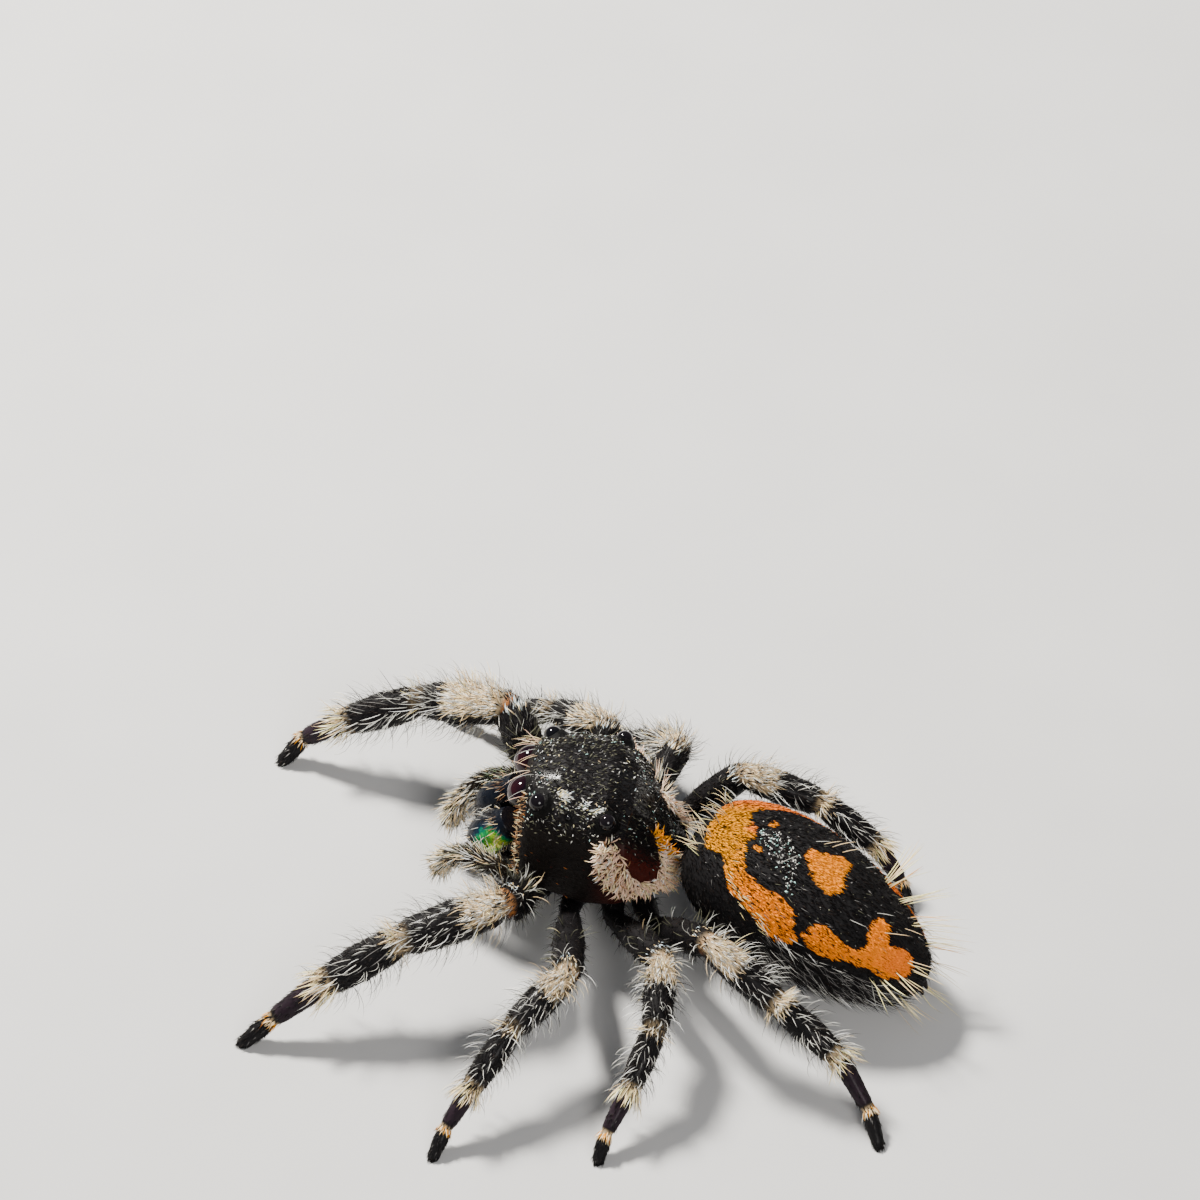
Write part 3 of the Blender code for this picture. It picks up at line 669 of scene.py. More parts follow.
def carapaceCoat():
    coat = Coat(carapacePoint, 11)
    draw = coat.draw

    def onTop(t, a):
        return smoothStep((np.sin(a) - 0.45) / 0.3) * (bandDistance(t, a) > 0.05)

    def speckAndGlintDensity(t, a):
        lean = leanOf(a)
        edges = (1.2 * smoothStep((0.17 - t) / 0.1) * (np.abs(lean) < 0.9)
                 + 0.9 * near(lean, 0.56, 0.1, 0.1) * near(t, 0.3, 0.2)
                 + near(lean, -0.66, 0.24, 0.1) * near(t, 0.34, 0.26)
                 + 0.4 * near(lean, -0.3, 0.2, 0.1) * near(t, 0.7, 0.15))
        clumps = smoothStep(0.45 + 0.9 * np.sin(37.0 * t + 5.0 * lean) * np.sin(19.0 * lean - 9.0 * t + 1.0))
        return onTop(t, a) * (0.1 + edges) * (0.12 + clumps) * (t < 0.88)

    def inBand(t, a):
        return (bandDistance(t, a) < 0.0) * (0.5 + 0.5 * (np.sin(a) > 0))

    t, a = coat.scatter(4200, (0.01, 0.97), lambda t, a: onTop(t, a) * (1 - eyeNearness(carapacePoint(t, a))))
    forward = smoothStep((0.55 - t) / 0.2)
    coat.grow(t, a, {"black": 8, "brownBlack": 4, "olive": 0.5 + 3.0 * forward, "grey": forward}, 0.4,
              length=(0.06, 0.11), width=0.017, stand=(22, 4), swirl=34, sink=0.01)
    # specks over the top, thickest on the front edge, the far edge and the ridge between the eyes: the grey,
    # pale grey, olive and cream ones are short scales, and the white, teal and blue-white ones are painted
    # glints
    specksAndGlints = {"white": 1.6, "paleGrey": 3, "teal": 1.5, "blueWhite": 1, "cream": 1, "grey": 5, "olive": 4}
    coat.strew(1500, (0.02, 0.9), speckAndGlintDensity, specksAndGlints, 0.4,
               length=(0.028, 0.058), width=0.018, stand=(28, 0), swirl=60, flat=0.25, sink=0.0,
               taper=3.0, fade=0.8)
    # painted highlight: tufts of white scales on the ridge between the side eyes stand in for the shell's
    # glints there: place, lean, both with a spread, and count
    glintTufts = ((0.215, 0.018, 0.43, 0.03, 76), (0.44, 0.016, 0.54, 0.03, 64), (0.33, 0.03, 0.49, 0.05, 22))
    t = np.concatenate([draw.normal(at, wide, count) for at, wide, _, _, count in glintTufts])
    a = np.pi / 2 - np.concatenate([draw.normal(lean, wide, count) for _, _, lean, wide, count in glintTufts])
    coat.grow(t, a, {"white": 5, "blueWhite": 2, "yellowWhite": 2, "paleGrey": 2}, 0.2,
              length=(0.05, 0.1), width=0.017, stand=(26, 0), swirl=26, flat=0.3, sink=0.0,
              taper=2.6, fade=0.7)
    # the pale band spreads from the middle of its own side, golden where it turns up the rear slope
    t, a = coat.scatter(2500, (0.36, 0.985), inBand)
    gold = smoothStep((a - 0.8) / 0.3) * (t > 0.68) * (a < np.pi / 2)
    bandMiddle = np.array((0.7 * carapace["length"], 0.0, 0.95))
    sideways = np.array((0.0, 0.95, 0.0))
    centres = bandMiddle + np.where(leanOf(a) > 0, 1.0, -1.0)[:, None] * sideways
    band = {"pinkCream": 6, "cream": 3, "white": 0.8, "tan": 0.7, "golden": 26 * gold, "orange": 10 * gold}
    coat.grow(t, a, band, length=(0.14, 0.25), width=0.03, stand=(46, -10), swirl=52, rings=3, unruly=18,
              away=place(carapace["frame"], centres), flat=0.4, taper=2.4, fade=0.45)
    t, a = draw.uniform(0.84, 0.93, 90), draw.uniform(0.18, 1.05, 90)
    coat.grow(t, a, {"pinkCream": 3, "cream": 4, "paleGrey": 2},
              length=(0.24, 0.38), width=0.022, stand=(40, 10), swirl=12, rings=4, fade=0.8,
              away=place(carapace["frame"], bandMiddle + sideways))
    coat.strew(600, (0.0, 0.04), lambda t, a: (np.sin(a) > -0.2) * (np.sin(a) < 0.9),
               {"tan": 5, "amber": 0.3, "cream": 2.4, "brownBlack": 5}, 0.4,
               length=(0.07, 0.15), width=0.011, stand=(30, 8), toward=-1.0, rings=3, swirl=24, fade=0.35)
    coat.strew(1500, (0.02, 0.6),
               lambda t, a: (np.sin(a) < 0.5) * (np.sin(a) > -0.3) * (bandDistance(t, a) > 0.02) * (t < 0.55),
               {"brownBlack": 1.2, "black": 8, "redBrown": 0.4, "amber": 0.12},
               length=(0.07, 0.13), width=0.013, stand=(18, 2))
    # lashes over the face, long setae on the top and pale hairs down the far rear slope
    t, a = draw.uniform(0.015, 0.05, 16), draw.uniform(1.05, np.pi - 1.05, 16)
    coat.grow(t, a, {"pinkCream": 4, "cream": 3, "paleGrey": 2},
              length=(0.34, 0.6), width=0.013, stand=(40, 4), toward=-1.0, rings=4, swirl=24)
    t = np.array((0.44, 0.44, 0.16, 0.16, 0.3, 0.52, 0.54, 0.62))
    a = np.array((1.94, 1.2, 1.84, 1.3, 1.57, 1.0, 2.15, 1.57))
    coat.grow(t, a, shade("black", len(t)), length=(0.4, 0.6), width=0.02, stand=(76, 62), rings=5, swirl=20)
    t, a = draw.uniform(0.7, 0.93, 80), np.pi / 2 + draw.uniform(0.3, 1.25, 80)
    coat.grow(t, a, {"pinkCream": 3, "paleGrey": 3, "cream": 3},
              length=(0.28, 0.48), width=0.014, stand=(42, 22), rings=4, away=onHead(1.35, 0.0, 0.4))
    coat.finish("carapaceCoat", "headHair")


carapaceCoat()


# ---- eyes ----
eyeGrid = {"segments": 48, "rings": 32, "sideShare": 0.92}


def makeEye(eye, side, sign):
    mesh = bmesh.new()
    front = eye == "anterior_median"
    radius = eyes[eye][1] * (1.0 if front else eyeGrid["sideShare"])
    bmesh.ops.create_uvsphere(mesh, u_segments=eyeGrid["segments"], v_segments=eyeGrid["rings"],
                              radius=radius * mm)
    # the pole faces forward and out, as the eye does
    turn = Vector(eyeFacing(sign)).to_track_quat("Z", "Y").to_matrix().to_4x4()
    centre = Matrix.Translation(Vector(metres(eyeCentre(eye, sign))))
    bmesh.ops.transform(mesh, matrix=centre @ turn, verts=mesh.verts)
    bmesh.ops.recalc_face_normals(mesh, faces=mesh.faces)
    piece = pieceFrom(mesh, "eye_" + eye + "_" + side + "_lens")
    finishPiece(piece, "frontEye" if front else "eye", ["eye_" + eye + "_" + side])


for eye in eyes:
    for side, sign in sides:
        makeEye(eye, side, sign)
print("eyes done")


# ---- abdomen ----
marks = {  # outlines as (place along, lean from the top midline), left side positive
    "basalBandLeft": (
        (0.03, -0.4), (0.035, 0.1), (0.04, 0.35), (0.055, 0.62), (0.081, 0.7), (0.138, 0.663),
        (0.17, 0.72), (0.2, 0.93), (0.23, 1.04), (0.259, 1.065), (0.332, 1.117), (0.389, 1.204),
        (0.445, 1.3), (0.494, 1.27), (0.534, 1.134), (0.506, 0.977), (0.474, 0.75), (0.421, 0.681),
        (0.36, 0.69), (0.295, 0.69), (0.247, 0.64), (0.214, 0.506), (0.19, 0.314), (0.19, 0.22),
        (0.205, 0.1), (0.185, 0.0), (0.158, -0.087), (0.134, -0.3), (0.11, -0.4)),
    "basalBandRight": (
        (0.03, 0.0), (0.035, -0.5), (0.06, -0.85), (0.12, -1.05), (0.19, -1.18), (0.26, -1.26),
        (0.34, -1.36), (0.42, -1.46), (0.49, -1.44), (0.53, -1.32), (0.5, -1.16), (0.44, -1.06),
        (0.36, -0.98), (0.295, -0.84), (0.235, -0.67), (0.174, -0.49), (0.134, -0.314), (0.15, -0.1),
        (0.12, 0.0)),
    "heart": (
        (0.393, -0.052), (0.405, -0.157), (0.437, -0.155), (0.449, -0.209), (0.498, -0.314),
        (0.538, -0.355), (0.551, -0.262), (0.555, -0.07), (0.573, 0.07), (0.569, 0.192),
        (0.54, 0.285), (0.506, 0.279), (0.457, 0.192), (0.413, 0.07)),
    "rearBarLeft": (
        (0.543, 1.012), (0.563, 0.75), (0.603, 0.681), (0.644, 0.716), (0.692, 0.768), (0.737, 0.71),
        (0.8, 0.7), (0.919, 0.7), (0.919, 0.82), (0.862, 1.012), (0.822, 0.925), (0.745, 0.995),
        (0.664, 1.117), (0.591, 1.117)),
    "rearBarRight": (
        (0.575, -1.22), (0.6, -1.02), (0.645, -0.98), (0.68, -0.94), (0.688, -0.76), (0.704, -0.7),
        (0.724, -0.72), (0.738, -0.84), (0.76, -0.98), (0.85, -1.0), (0.915, -1.04), (0.9, -1.2),
        (0.84, -1.26), (0.74, -1.28), (0.65, -1.34), (0.595, -1.34)),
    "rearStub": (
        (0.725, 0.8), (0.757, 0.58), (0.737, 0.297), (0.729, 0.105), (0.753, 0.0), (0.786, 0.07),
        (0.826, 0.332), (0.867, 0.175), (0.907, 0.14), (0.93, 0.35), (0.927, 0.541), (0.919, 0.82),
        (0.862, 1.0), (0.8, 0.93)),
    "leftDot": ((0.222, 0.24), (0.236, 0.19), (0.25, 0.24), (0.238, 0.3)),
    "rightDot": ((0.216, -0.17), (0.232, -0.25), (0.252, -0.18), (0.238, -0.11)),
    # a patch of pale scales, their white and teal painted as glints
    "sparkle": (
        (0.198, 0.05), (0.215, -0.06), (0.262, -0.1), (0.33, -0.1), (0.385, 0.0), (0.4, 0.2), (0.44, 0.58),
        (0.415, 0.62), (0.37, 0.36), (0.29, 0.3), (0.245, 0.19)),
}


def outlineDistance(outline, t, lean):
    # millimetres from places to an outline, below zero inside it
    reach = 1.15 * abdomenGirth(t)
    best = np.full(len(t), 1e9)
    crossings = np.zeros(len(t), int)
    for (t0, lean0), (t1, lean1) in zip(outline, outline[1:] + outline[:1]):
        dx, dy = (t1 - t0) * abdomen["length"], (lean1 - lean0) * reach
        px, py = (t - t0) * abdomen["length"], (lean - lean0) * reach
        f = np.clip((px * dx + py * dy) / (dx * dx + dy * dy + 1e-12), 0.0, 1.0)
        best = np.minimum(best, np.hypot(px - f * dx, py - f * dy))
        if lean0 != lean1:
            before = t < t0 + (t1 - t0) * (lean - lean0) / (lean1 - lean0)
            crossings += ((lean0 > lean) != (lean1 > lean)) & before
    return np.where(crossings % 2 == 1, -best, best)


def markDistance(t, angle):
    lean = leanOf(angle)
    best = np.full(len(t), 1e9)
    for name, outline in marks.items():
        if name != "sparkle":
            best = np.minimum(best, outlineDistance(outline, t, lean))
    ragged = 0.012 * np.sin(61.0 * t + 9.0 * lean) + 0.012 * np.sin(47.0 * lean - 38.0 * t)
    return best + ragged


def smoothMark(t, angle):
    # the heart and the rear arm lie smooth, the band's scales are parted by dark gaps
    lean = leanOf(angle)
    heart = near(t, 0.49, 0.1, 0.02) * (np.abs(lean) < 0.5)
    return heart + near(t, 0.82, 0.11, 0.03) * (np.abs(lean) < 0.85)


def orangeAt(t, angle):
    # golden in front and in the heart, orange along the sides, salmon at the far edge and by the tail
    lean = leanOf(angle)
    front = smoothStep((0.3 - t) / 0.16) * smoothStep((1.15 - lean) / 0.5)
    front = np.clip(front + 0.45 * near(t, 0.5, 0.09, 0.03) * near(lean, 0.0, 0.4, 0.1), 0.0, 1.0)
    pink = 0.9 * smoothStep((-0.15 - lean) / 0.6) * smoothStep((lean + 1.15) / 0.3) * (t < 0.5)
    pink += 0.8 * near(t, 0.175, 0.02, 0.01) * near(lean, -0.02, 0.1)
    pink += 0.45 * near(t, 0.89, 0.06, 0.04) * (lean < 0.8)
    pink += 0.8 * near(lean, -0.8, 0.2, 0.1) * (t > 0.6)
    pink = np.clip(pink, 0.0, 1.0)
    base = colours["orange"] * (1 - front)[:, None] + colours["golden"] * front[:, None]
    return base * (1 - pink)[:, None] + colours["pinkOrange"] * pink[:, None]


def abdomenTint(t, angle):
    inside = (markDistance(t, angle) < -0.015)[:, None]
    return np.where(inside, 0.9 * orangeAt(t, angle), colours["black"])


def towardEnds(v):
    return 0.5 - 0.5 * np.cos(np.pi * v)


abdomenSkin = wrapSkin("abdomenSkin", abdomenPoint, (0.0, 1.0), 200, 150, abdomenTint, ease=towardEnds)
finishPiece(abdomenSkin, "velvetSkin", ["abdomen"])
print("abdomen skin done")


def velvetCoat():
    coat = Coat(abdomenPoint, 23)
    t, a = coat.scatter(15800, (0.004, 0.996), lambda t, a: markDistance(t, a) > -0.016)
    low = smoothStep((np.abs(leanOf(a)) - 1.05) / 0.5) * smoothStep((t - 0.25) / 0.3)
    coat.grow(t, a, {"black": 9 - 4 * low, "brownBlack": 3.5 + 2.0 * low, "grey": 0.06 + 0.9 * low}, 0.5,
              length=(0.09, 0.15), width=0.024, stand=(22, 2), swirl=16, flat=0.3)
    coat.finish("abdomenVelvet", "velvet")


def orangeCoat():
    coat = Coat(abdomenPoint, 29)
    draw = coat.draw

    def inside(t, a):
        return markDistance(t, a) < -0.012

    def inSparkle(t, a):
        within = outlineDistance(marks["sparkle"], t, leanOf(a)) < 0.0
        return within * (0.4 + 1.6 * (t < 0.3)) * (markDistance(t, a) > 0.02)

    # the scales of the marks, with dark gaps and streaks where they don't lie smooth
    t, a = coat.scatter(8600, (0.004, 0.97), inside)
    smooth = smoothMark(t, a)
    bright = draw.uniform(0.7, 1.15, len(t)) * (1 - smooth) + smooth * draw.uniform(0.9, 1.05, len(t))
    colour = np.clip(orangeAt(t, a) * bright[:, None], 0.0, 1.0)
    gap = draw.random(len(t)) < 0.085 * (1 - smooth)
    colour[gap] = 0.06 * colour[gap]
    coat.grow(t, a, colour,
              length=(0.08, 0.14), width=0.034, stand=(15, 0), swirl=8, flat=0.2, sink=0.01, fade=0.62)
    t, a = coat.scatter(620, (0.004, 0.97), lambda t, a: inside(t, a) * (1 - np.clip(smoothMark(t, a), 0, 1)))
    coat.grow(t, a, shade("brownBlack", len(t)),
              length=(0.07, 0.13), width=0.02, stand=(20, 2), flat=0.3, sink=0.0)
    # pale flecks behind the basal band, brightest in front, their white and teal painted as glints, and grey
    # and olive specks over the rest of the back
    t, a = coat.scatter(1000, (0.18, 0.46), inSparkle)
    bright = smoothStep((0.34 - t) / 0.1)
    coat.grow(t, a, {"white": 1 + 5 * bright, "teal": 2 + 2 * bright, "paleGrey": 3, "grey": 5 - 3 * bright},
              length=(0.045, 0.09), width=0.03, stand=(34, 4), swirl=60, flat=0.25, taper=3.0, fade=0.8)
    coat.strew(190, (0.15, 0.95), lambda t, a: (markDistance(t, a) > 0.03) * (np.abs(leanOf(a)) < 1.1),
               {"grey": 4, "olive": 4, "paleGrey": 0.5},
               length=(0.04, 0.08), width=0.026, stand=(34, 4), swirl=50, flat=0.25, taper=3.0)
    coat.finish("abdomenOrange", "orange")


tailTufts = (  # long pale bristles towards the tail: place, lean, how many, how thick
    (0.7, -0.74, 12, 0.018), (0.775, -0.68, 8, 0.018), (0.845, -0.58, 7, 0.017), (0.93, 0.3, 5, 0.014),
    (0.925, 0.72, 4, 0.015), (0.88, 0.99, 2, 0.03), (0.915, 0.86, 2, 0.016), (0.84, 1.08, 2, 0.014),
    (0.93, -0.75, 6, 0.017), (0.9, -1.2, 6, 0.017), (0.96, 1.5, 4, 0.014), (0.96, 2.6, 6, 0.014),
    (0.96, -2.6, 6, 0.014), (0.96, -1.6, 6, 0.014),
)


def abdomenBristles():
    coat = Coat(abdomenPoint, 31)
    draw = coat.draw

    def onFlank(t, a):
        rearward = 0.03 + 0.97 * smoothStep((t - 0.34) / 0.25)
        lean = np.abs(leanOf(a))
        return smoothStep((lean - 1.08) / 0.25) * (lean < 2.2) * rearward

    coat.strew(950, (0.05, 0.97), onFlank, {"paleGrey": 2, "grey": 4, "black": 5, "white": 0.4}, 0.4,
               length=(0.26, 0.46), width=0.013, stand=(30, 6), rings=4, swirl=20)
    coat.strew(190, (0.1, 0.9), lambda t, a: np.abs(leanOf(a)) < 1.1, {"grey": 2, "olive": 2, "black": 6},
               length=(0.12, 0.22), width=0.011, stand=(38, 12), rings=3)
    # pale hairs along the lower edge of the basal band, most of them on the near side
    places = (0.17, 0.2, 0.23, 0.26, 0.33, 0.39, 0.445, 0.5)
    leans = (0.74, 0.95, 1.06, 1.09, 1.14, 1.22, 1.31, 1.33)
    t = np.append(draw.uniform(0.18, 0.42, 60), draw.uniform(0.22, 0.5, 40))
    a = np.pi / 2 - (np.interp(t, places, leans) - 0.06 + draw.normal(0, 0.05, 100))
    a[60:] = np.pi - a[60:] + 0.1
    coat.grow(t, a, {"yellowWhite": 7, "cream": 2, "golden": 2}, 0.15,
              length=(0.14, 0.3), width=0.012, stand=(18, 4), rings=3, swirl=12, fade=0.6)
    for tuftT, tuftLean, count, width in tailTufts:
        t = tuftT + draw.normal(0, 0.012, count)
        a = np.pi / 2 - (tuftLean + draw.normal(0, 0.07, count))
        coat.grow(t, a, {"yellowWhite": 5, "cream": 4, "golden": 0.7}, 0.15,
                  length=(0.62, 0.95) if tuftLean < -0.5 else (0.5, 0.76), width=width, stand=(64, 52),
                  rings=5, taper=2.2, away=place(abdomen["frame"], (0.55, 0.0, 0.0)), fade=0.7)
    t = np.array((0.4, 0.43, 0.46, 0.5, 0.73, 0.79, 0.6, 0.66, 0.34, 0.84))
    a = np.pi / 2 - np.array((-0.3, -0.34, -0.38, -0.42, 0.02, 0.2, -0.5, 0.4, 0.3, -0.2))
    coat.grow(t, a, {"cream": 3, "paleGrey": 2}, length=(0.34, 0.52), width=0.016, stand=(54, 40), rings=5)
    # the collar in front and the belly
    coat.strew(46, (0.02, 0.08), lambda t, a: np.abs(leanOf(a)) < 1.0,
               {"paleGrey": 2, "cream": 4, "yellowWhite": 2},
               length=(0.24, 0.48), width=0.015, stand=(62, 30), rings=4, toward=-1.0, unruly=16, swirl=34)
    coat.strew(420, (0.01, 0.99), lambda t, a: np.abs(leanOf(a)) > 1.8,
               {"grey": 4, "black": 5, "paleGrey": 0.6},
               length=(0.16, 0.3), width=0.012, stand=(34, 14), rings=3)
    coat.finish("abdomenBristles", "hair")


velvetCoat()
orangeCoat()
abdomenBristles()


# ---- underside: sternum, waist, mouth and spinnerets ----
sternum = {"start": 0.3, "length": 2.15, "halfHeight": 0.22, "drop": -0.45, "widths": smoothProfile((
    (0.0, 0.14), (0.1, 0.28), (0.28, 0.41), (0.7, 0.42), (0.9, 0.34), (1.0, 0.16)))}
mouth = {"start": -0.26, "length": 0.95, "halfWidth": 0.52, "halfHeight": 0.4, "middle": -0.1}
endite = {"path": ((0.4, 0.34, -0.36), (0.02, 0.34, -0.44), (-0.28, 0.2, -0.6)),
          "thickness": ((0, 0.15), (1, 0.17), (2, 0.1))}


def sternumPoint(t, angle):
    side, rise = superRound(angle, 2.4)
    width = np.interp(t, *sternum["widths"])
    height = sternum["halfHeight"] * (width / 0.42) ** 0.5
    x = sternum["start"] + t * sternum["length"]
    return onHead(x, side * width, sternum["drop"] + rise * height)


def mouthPoint(t, angle):
    side, rise = superRound(angle, 2.3)
    girth = (0.72 + 0.28 * smoothStep(t / 0.35)) * (1.0 - 0.35 * smoothStep((t - 0.6) / 0.4))
    x = mouth["start"] + t * mouth["length"]
    return onHead(x, side * mouth["halfWidth"] * girth, mouth["middle"] + rise * mouth["halfHeight"] * girth)


def darkTint(t, angle):
    return 0.6 * shade("brownBlack", len(t))


def mirrored(path, sign):
    return [onHead(x, y * sign, z) for x, y, z in path]


def darkPiece(piece, nodes=()):
    finishPiece(piece, "cuticle", nodes)


plate = wrapSkin("sternumPlate", sternumPoint, (0.0, 1.0), 40, 40, darkTint, caps=(0.08, 0.08))
darkPiece(plate, ["sternum"])
head, tail = onHead(2.6, 0.0, 0.06), place(abdomen["frame"], (-2.0, 0.0, -0.42))
waist = makeLimb((head, (head + tail) / 2, tail), ((0, 0.15), (1, 0.12), (2, 0.15)))
stalk = wrapSkin("waistStalk", limbSurface(waist), (0.0, 2.0), 24, 24, darkTint, caps=(0.1, 0.1))
darkPiece(stalk, ["pedicel"])
darkPiece(wrapSkin("mouthBase", mouthPoint, (0.0, 1.0), 40, 30, darkTint, caps=(0.12, 0.12)))
for side, sign in sides:
    surface = limbSurface(makeLimb(mirrored(endite["path"], sign), endite["thickness"], rounding=8))
    darkPiece(wrapSkin("endite_" + side, surface, (0.0, 2.0), 24, 30, darkTint, caps=(0.1, 0.12)))
    coat = Coat(surface, 43, (0.0, 2.0))
    coat.strew(110, (0.2, 1.95), lambda t, a: 0.4 + 0.6 * (t > 1.2), {"grey": 3, "paleGrey": 2, "black": 4},
               length=(0.1, 0.18), width=0.012, stand=(40, 14), rings=3)
    coat.finish("endite_" + side + "_coat", "hair")


def undersideCoat():
    coat = Coat(sternumPoint, 37)
    for surface, count in ((sternumPoint, 620), (mouthPoint, 240)):
        coat.surface = surface
        coat.strew(count, (0.04, 0.96), lambda t, a: np.sin(a) < 0.3,
                   {"grey": 4, "paleGrey": 1.5, "black": 5, "olive": 2},
                   length=(0.12, 0.24), width=0.012, stand=(34, 12), rings=3, swirl=26)
    coat.finish("undersideCoat", "hair")


undersideCoat()


def makeSpinnerets():
    turn = abdomen["frame"][:3, :3]
    end = np.array(0.984)
    tail = abdomenPoint(end, np.array(0.0)) / 2 + abdomenPoint(end, np.array(np.pi)) / 2
    down = turn @ np.array((0.7, 0.0, -0.7))
    side = turn @ np.array((0.0, 1.0, 0.0))
    merged = bmesh.new()
    for across, length in ((-0.07, 0.2), (0.07, 0.2), (-0.03, 0.14), (0.03, 0.14)):
        start = tail + side * across + down * (0.02 if length > 0.15 else -0.02)
        path = (start - down * 0.05, start + down * length * 0.5, start + down * length)
        cone = limbSurface(makeLimb(path, ((0, 0.055), (1, 0.05), (2, 0.018))))
        piece = wrapSkin("spinneret", cone, (0.0, 2.0), 16, 16, darkTint, caps=(0.1, 0.15))
        merged.from_mesh(piece.data)
        bpy.data.objects.remove(piece, do_unlink=True)
    return pieceFrom(merged, "spinneretCones")


darkPiece(makeSpinnerets(), ["spinnerets"])


# ---- chelicerae, fangs and palps ----
chelicera = {"path": ((-0.2, 0.36, 0.42), (-0.56, 0.35, -0.05), (-0.58, 0.33, -0.62)),
             "thickness": ((0.0, 0.24), (0.5, 0.31), (1.0, 0.32), (1.6, 0.25), (2.0, 0.17))}
fang = {"length": 0.34, "thickness": ((0, 0.075), (1, 0.0675), (2, 0.0375), (3, 0.006))}
palp = {"path": ((-0.02, 0.8, -0.34), (-0.36, 0.98, -0.02), (-0.8, 0.8, -0.1),
                 (-1.12, 0.62, -0.52), (-1.2, 0.5, -0.98)),
        "thickness": ((0, 0.11), (0.6, 0.13), (1.0, 0.11), (1.5, 0.13), (2, 0.115), (2.5, 0.135),
                      (3, 0.12), (3.5, 0.15), (3.85, 0.11), (4, 0.06))}


def paintedSheenTint(surface, sign):
    # painted sheen: the iridescent green is painted bright where the jaw turns out and back, and sinks into
    # black in front and below
    facing = headTurn @ np.array((0.62, 0.66 * sign, 0.42))

    def tint(t, angle):
        normal = surfaceFrame(surface, np.clip(t, 0.1, 1.9), angle)[1]
        paintedSheen = smoothStep(0.26 + 0.85 * normal @ facing)
        paintedSheen = paintedSheen * smoothStep((1.9 - t) / 0.5) * smoothStep((t - 0.05) / 0.4)
        return np.repeat(paintedSheen[:, None], 3, 1)

    return tint


def hornTint(t, angle):
    return shade("hornBrown", len(t))


def palpTint(t, angle):
    return darkTint(t, angle) + 0.015 * shade("cream", len(t))


def makeJaw(side, sign):
    path = mirrored(chelicera["path"], sign)
    surface = limbSurface(makeLimb(path, chelicera["thickness"], rounding=12))
    green = paintedSheenTint(surface, sign)
    skin = wrapSkin("chelicera_" + side + "_skin", surface, (0.0, 2.0), 48, 60, green, caps=(0.12, 0.12))
    finishPiece(skin, "chelicera", ["chelicera_" + side])
    # the fang leaves the jaw's end and folds inward
    axis = path[2] - path[1]
    axis /= np.linalg.norm(axis)
    inward = headTurn @ np.array((0.35, -sign, -0.15))
    inward /= np.linalg.norm(inward)
    knuckle = path[2] + axis * 0.11
    end = knuckle + (inward * 0.8 + axis * 0.35) * fang["length"]
    line = (path[2] - axis * 0.05, knuckle, knuckle * 0.45 + end * 0.55 + axis * 0.02, end)
    hook = limbSurface(makeLimb(line, fang["thickness"], rounding=10))
    tooth = wrapSkin("fang_" + side + "_hook", hook, (0.0, 3.0), 20, 36, hornTint, caps=(0.08, 0.06))
    finishPiece(tooth, "cuticle", ["fang_" + side])
    coat = Coat(surface, 41, (0.0, 2.0))
    coat.strew(260, (0.1, 1.95), lambda t, a: 0.3 + 0.7 * (t > 1.0), {"paleGrey": 3, "cream": 3, "black": 4},
               length=(0.12, 0.24), width=0.013, stand=(46, 22), rings=3)
    t = coat.draw.uniform(0.12, 0.32, 50)
    a = np.pi / 2 + sign * 0.5 + coat.draw.normal(0.0, 0.7, 50)
    coat.grow(t, a, {"cream": 1.5, "tan": 2, "grey": 3, "brownBlack": 4},
              length=(0.14, 0.26), width=0.01, stand=(30, 6), rings=3, swirl=20)
    coat.finish("chelicera_" + side + "_coat", "hair")
    return coat.draw


def makePalp(side, sign, draw):
    surface = limbSurface(makeLimb(mirrored(palp["path"], sign), palp["thickness"], rounding=8))
    skin = wrapSkin("palp_" + side + "_skin", surface, (0.0, 4.0), 32, 90, palpTint, caps=(0.04, 0.04))
    finishPiece(skin, "cuticle", ["palp_" + side])
    coat = Coat(surface, draw, (0.0, 4.0))
    t, a = coat.scatter(1800, (0.05, 4.0), lambda t, a: 0.4 + 0.6 * (t > 1.0))
    pale = 0.75 * smoothStep((t - 2.0) / 1.2)
    shares = {"cream": 0.5 + 6 * pale, "paleGrey": 1 + 2 * pale, "white": 3 * pale,
              "olive": 1.5 - pale, "brownBlack": 7 - 6 * pale}
    coat.grow(t, a, shares, length=(0.12, 0.2), width=0.018, stand=(34, 14))
    coat.strew(300, (0.8, 4.0), everywhere, {"cream": 3, "paleGrey": 3, "white": 2, "olive": 1},
               length=(0.22, 0.36), width=0.015, stand=(56, 26), rings=4)
    coat.finish("palp_" + side + "_coat", "hair")


for side, sign in sides:
    makePalp(side, sign, makeJaw(side, sign))
print("mouthparts done")


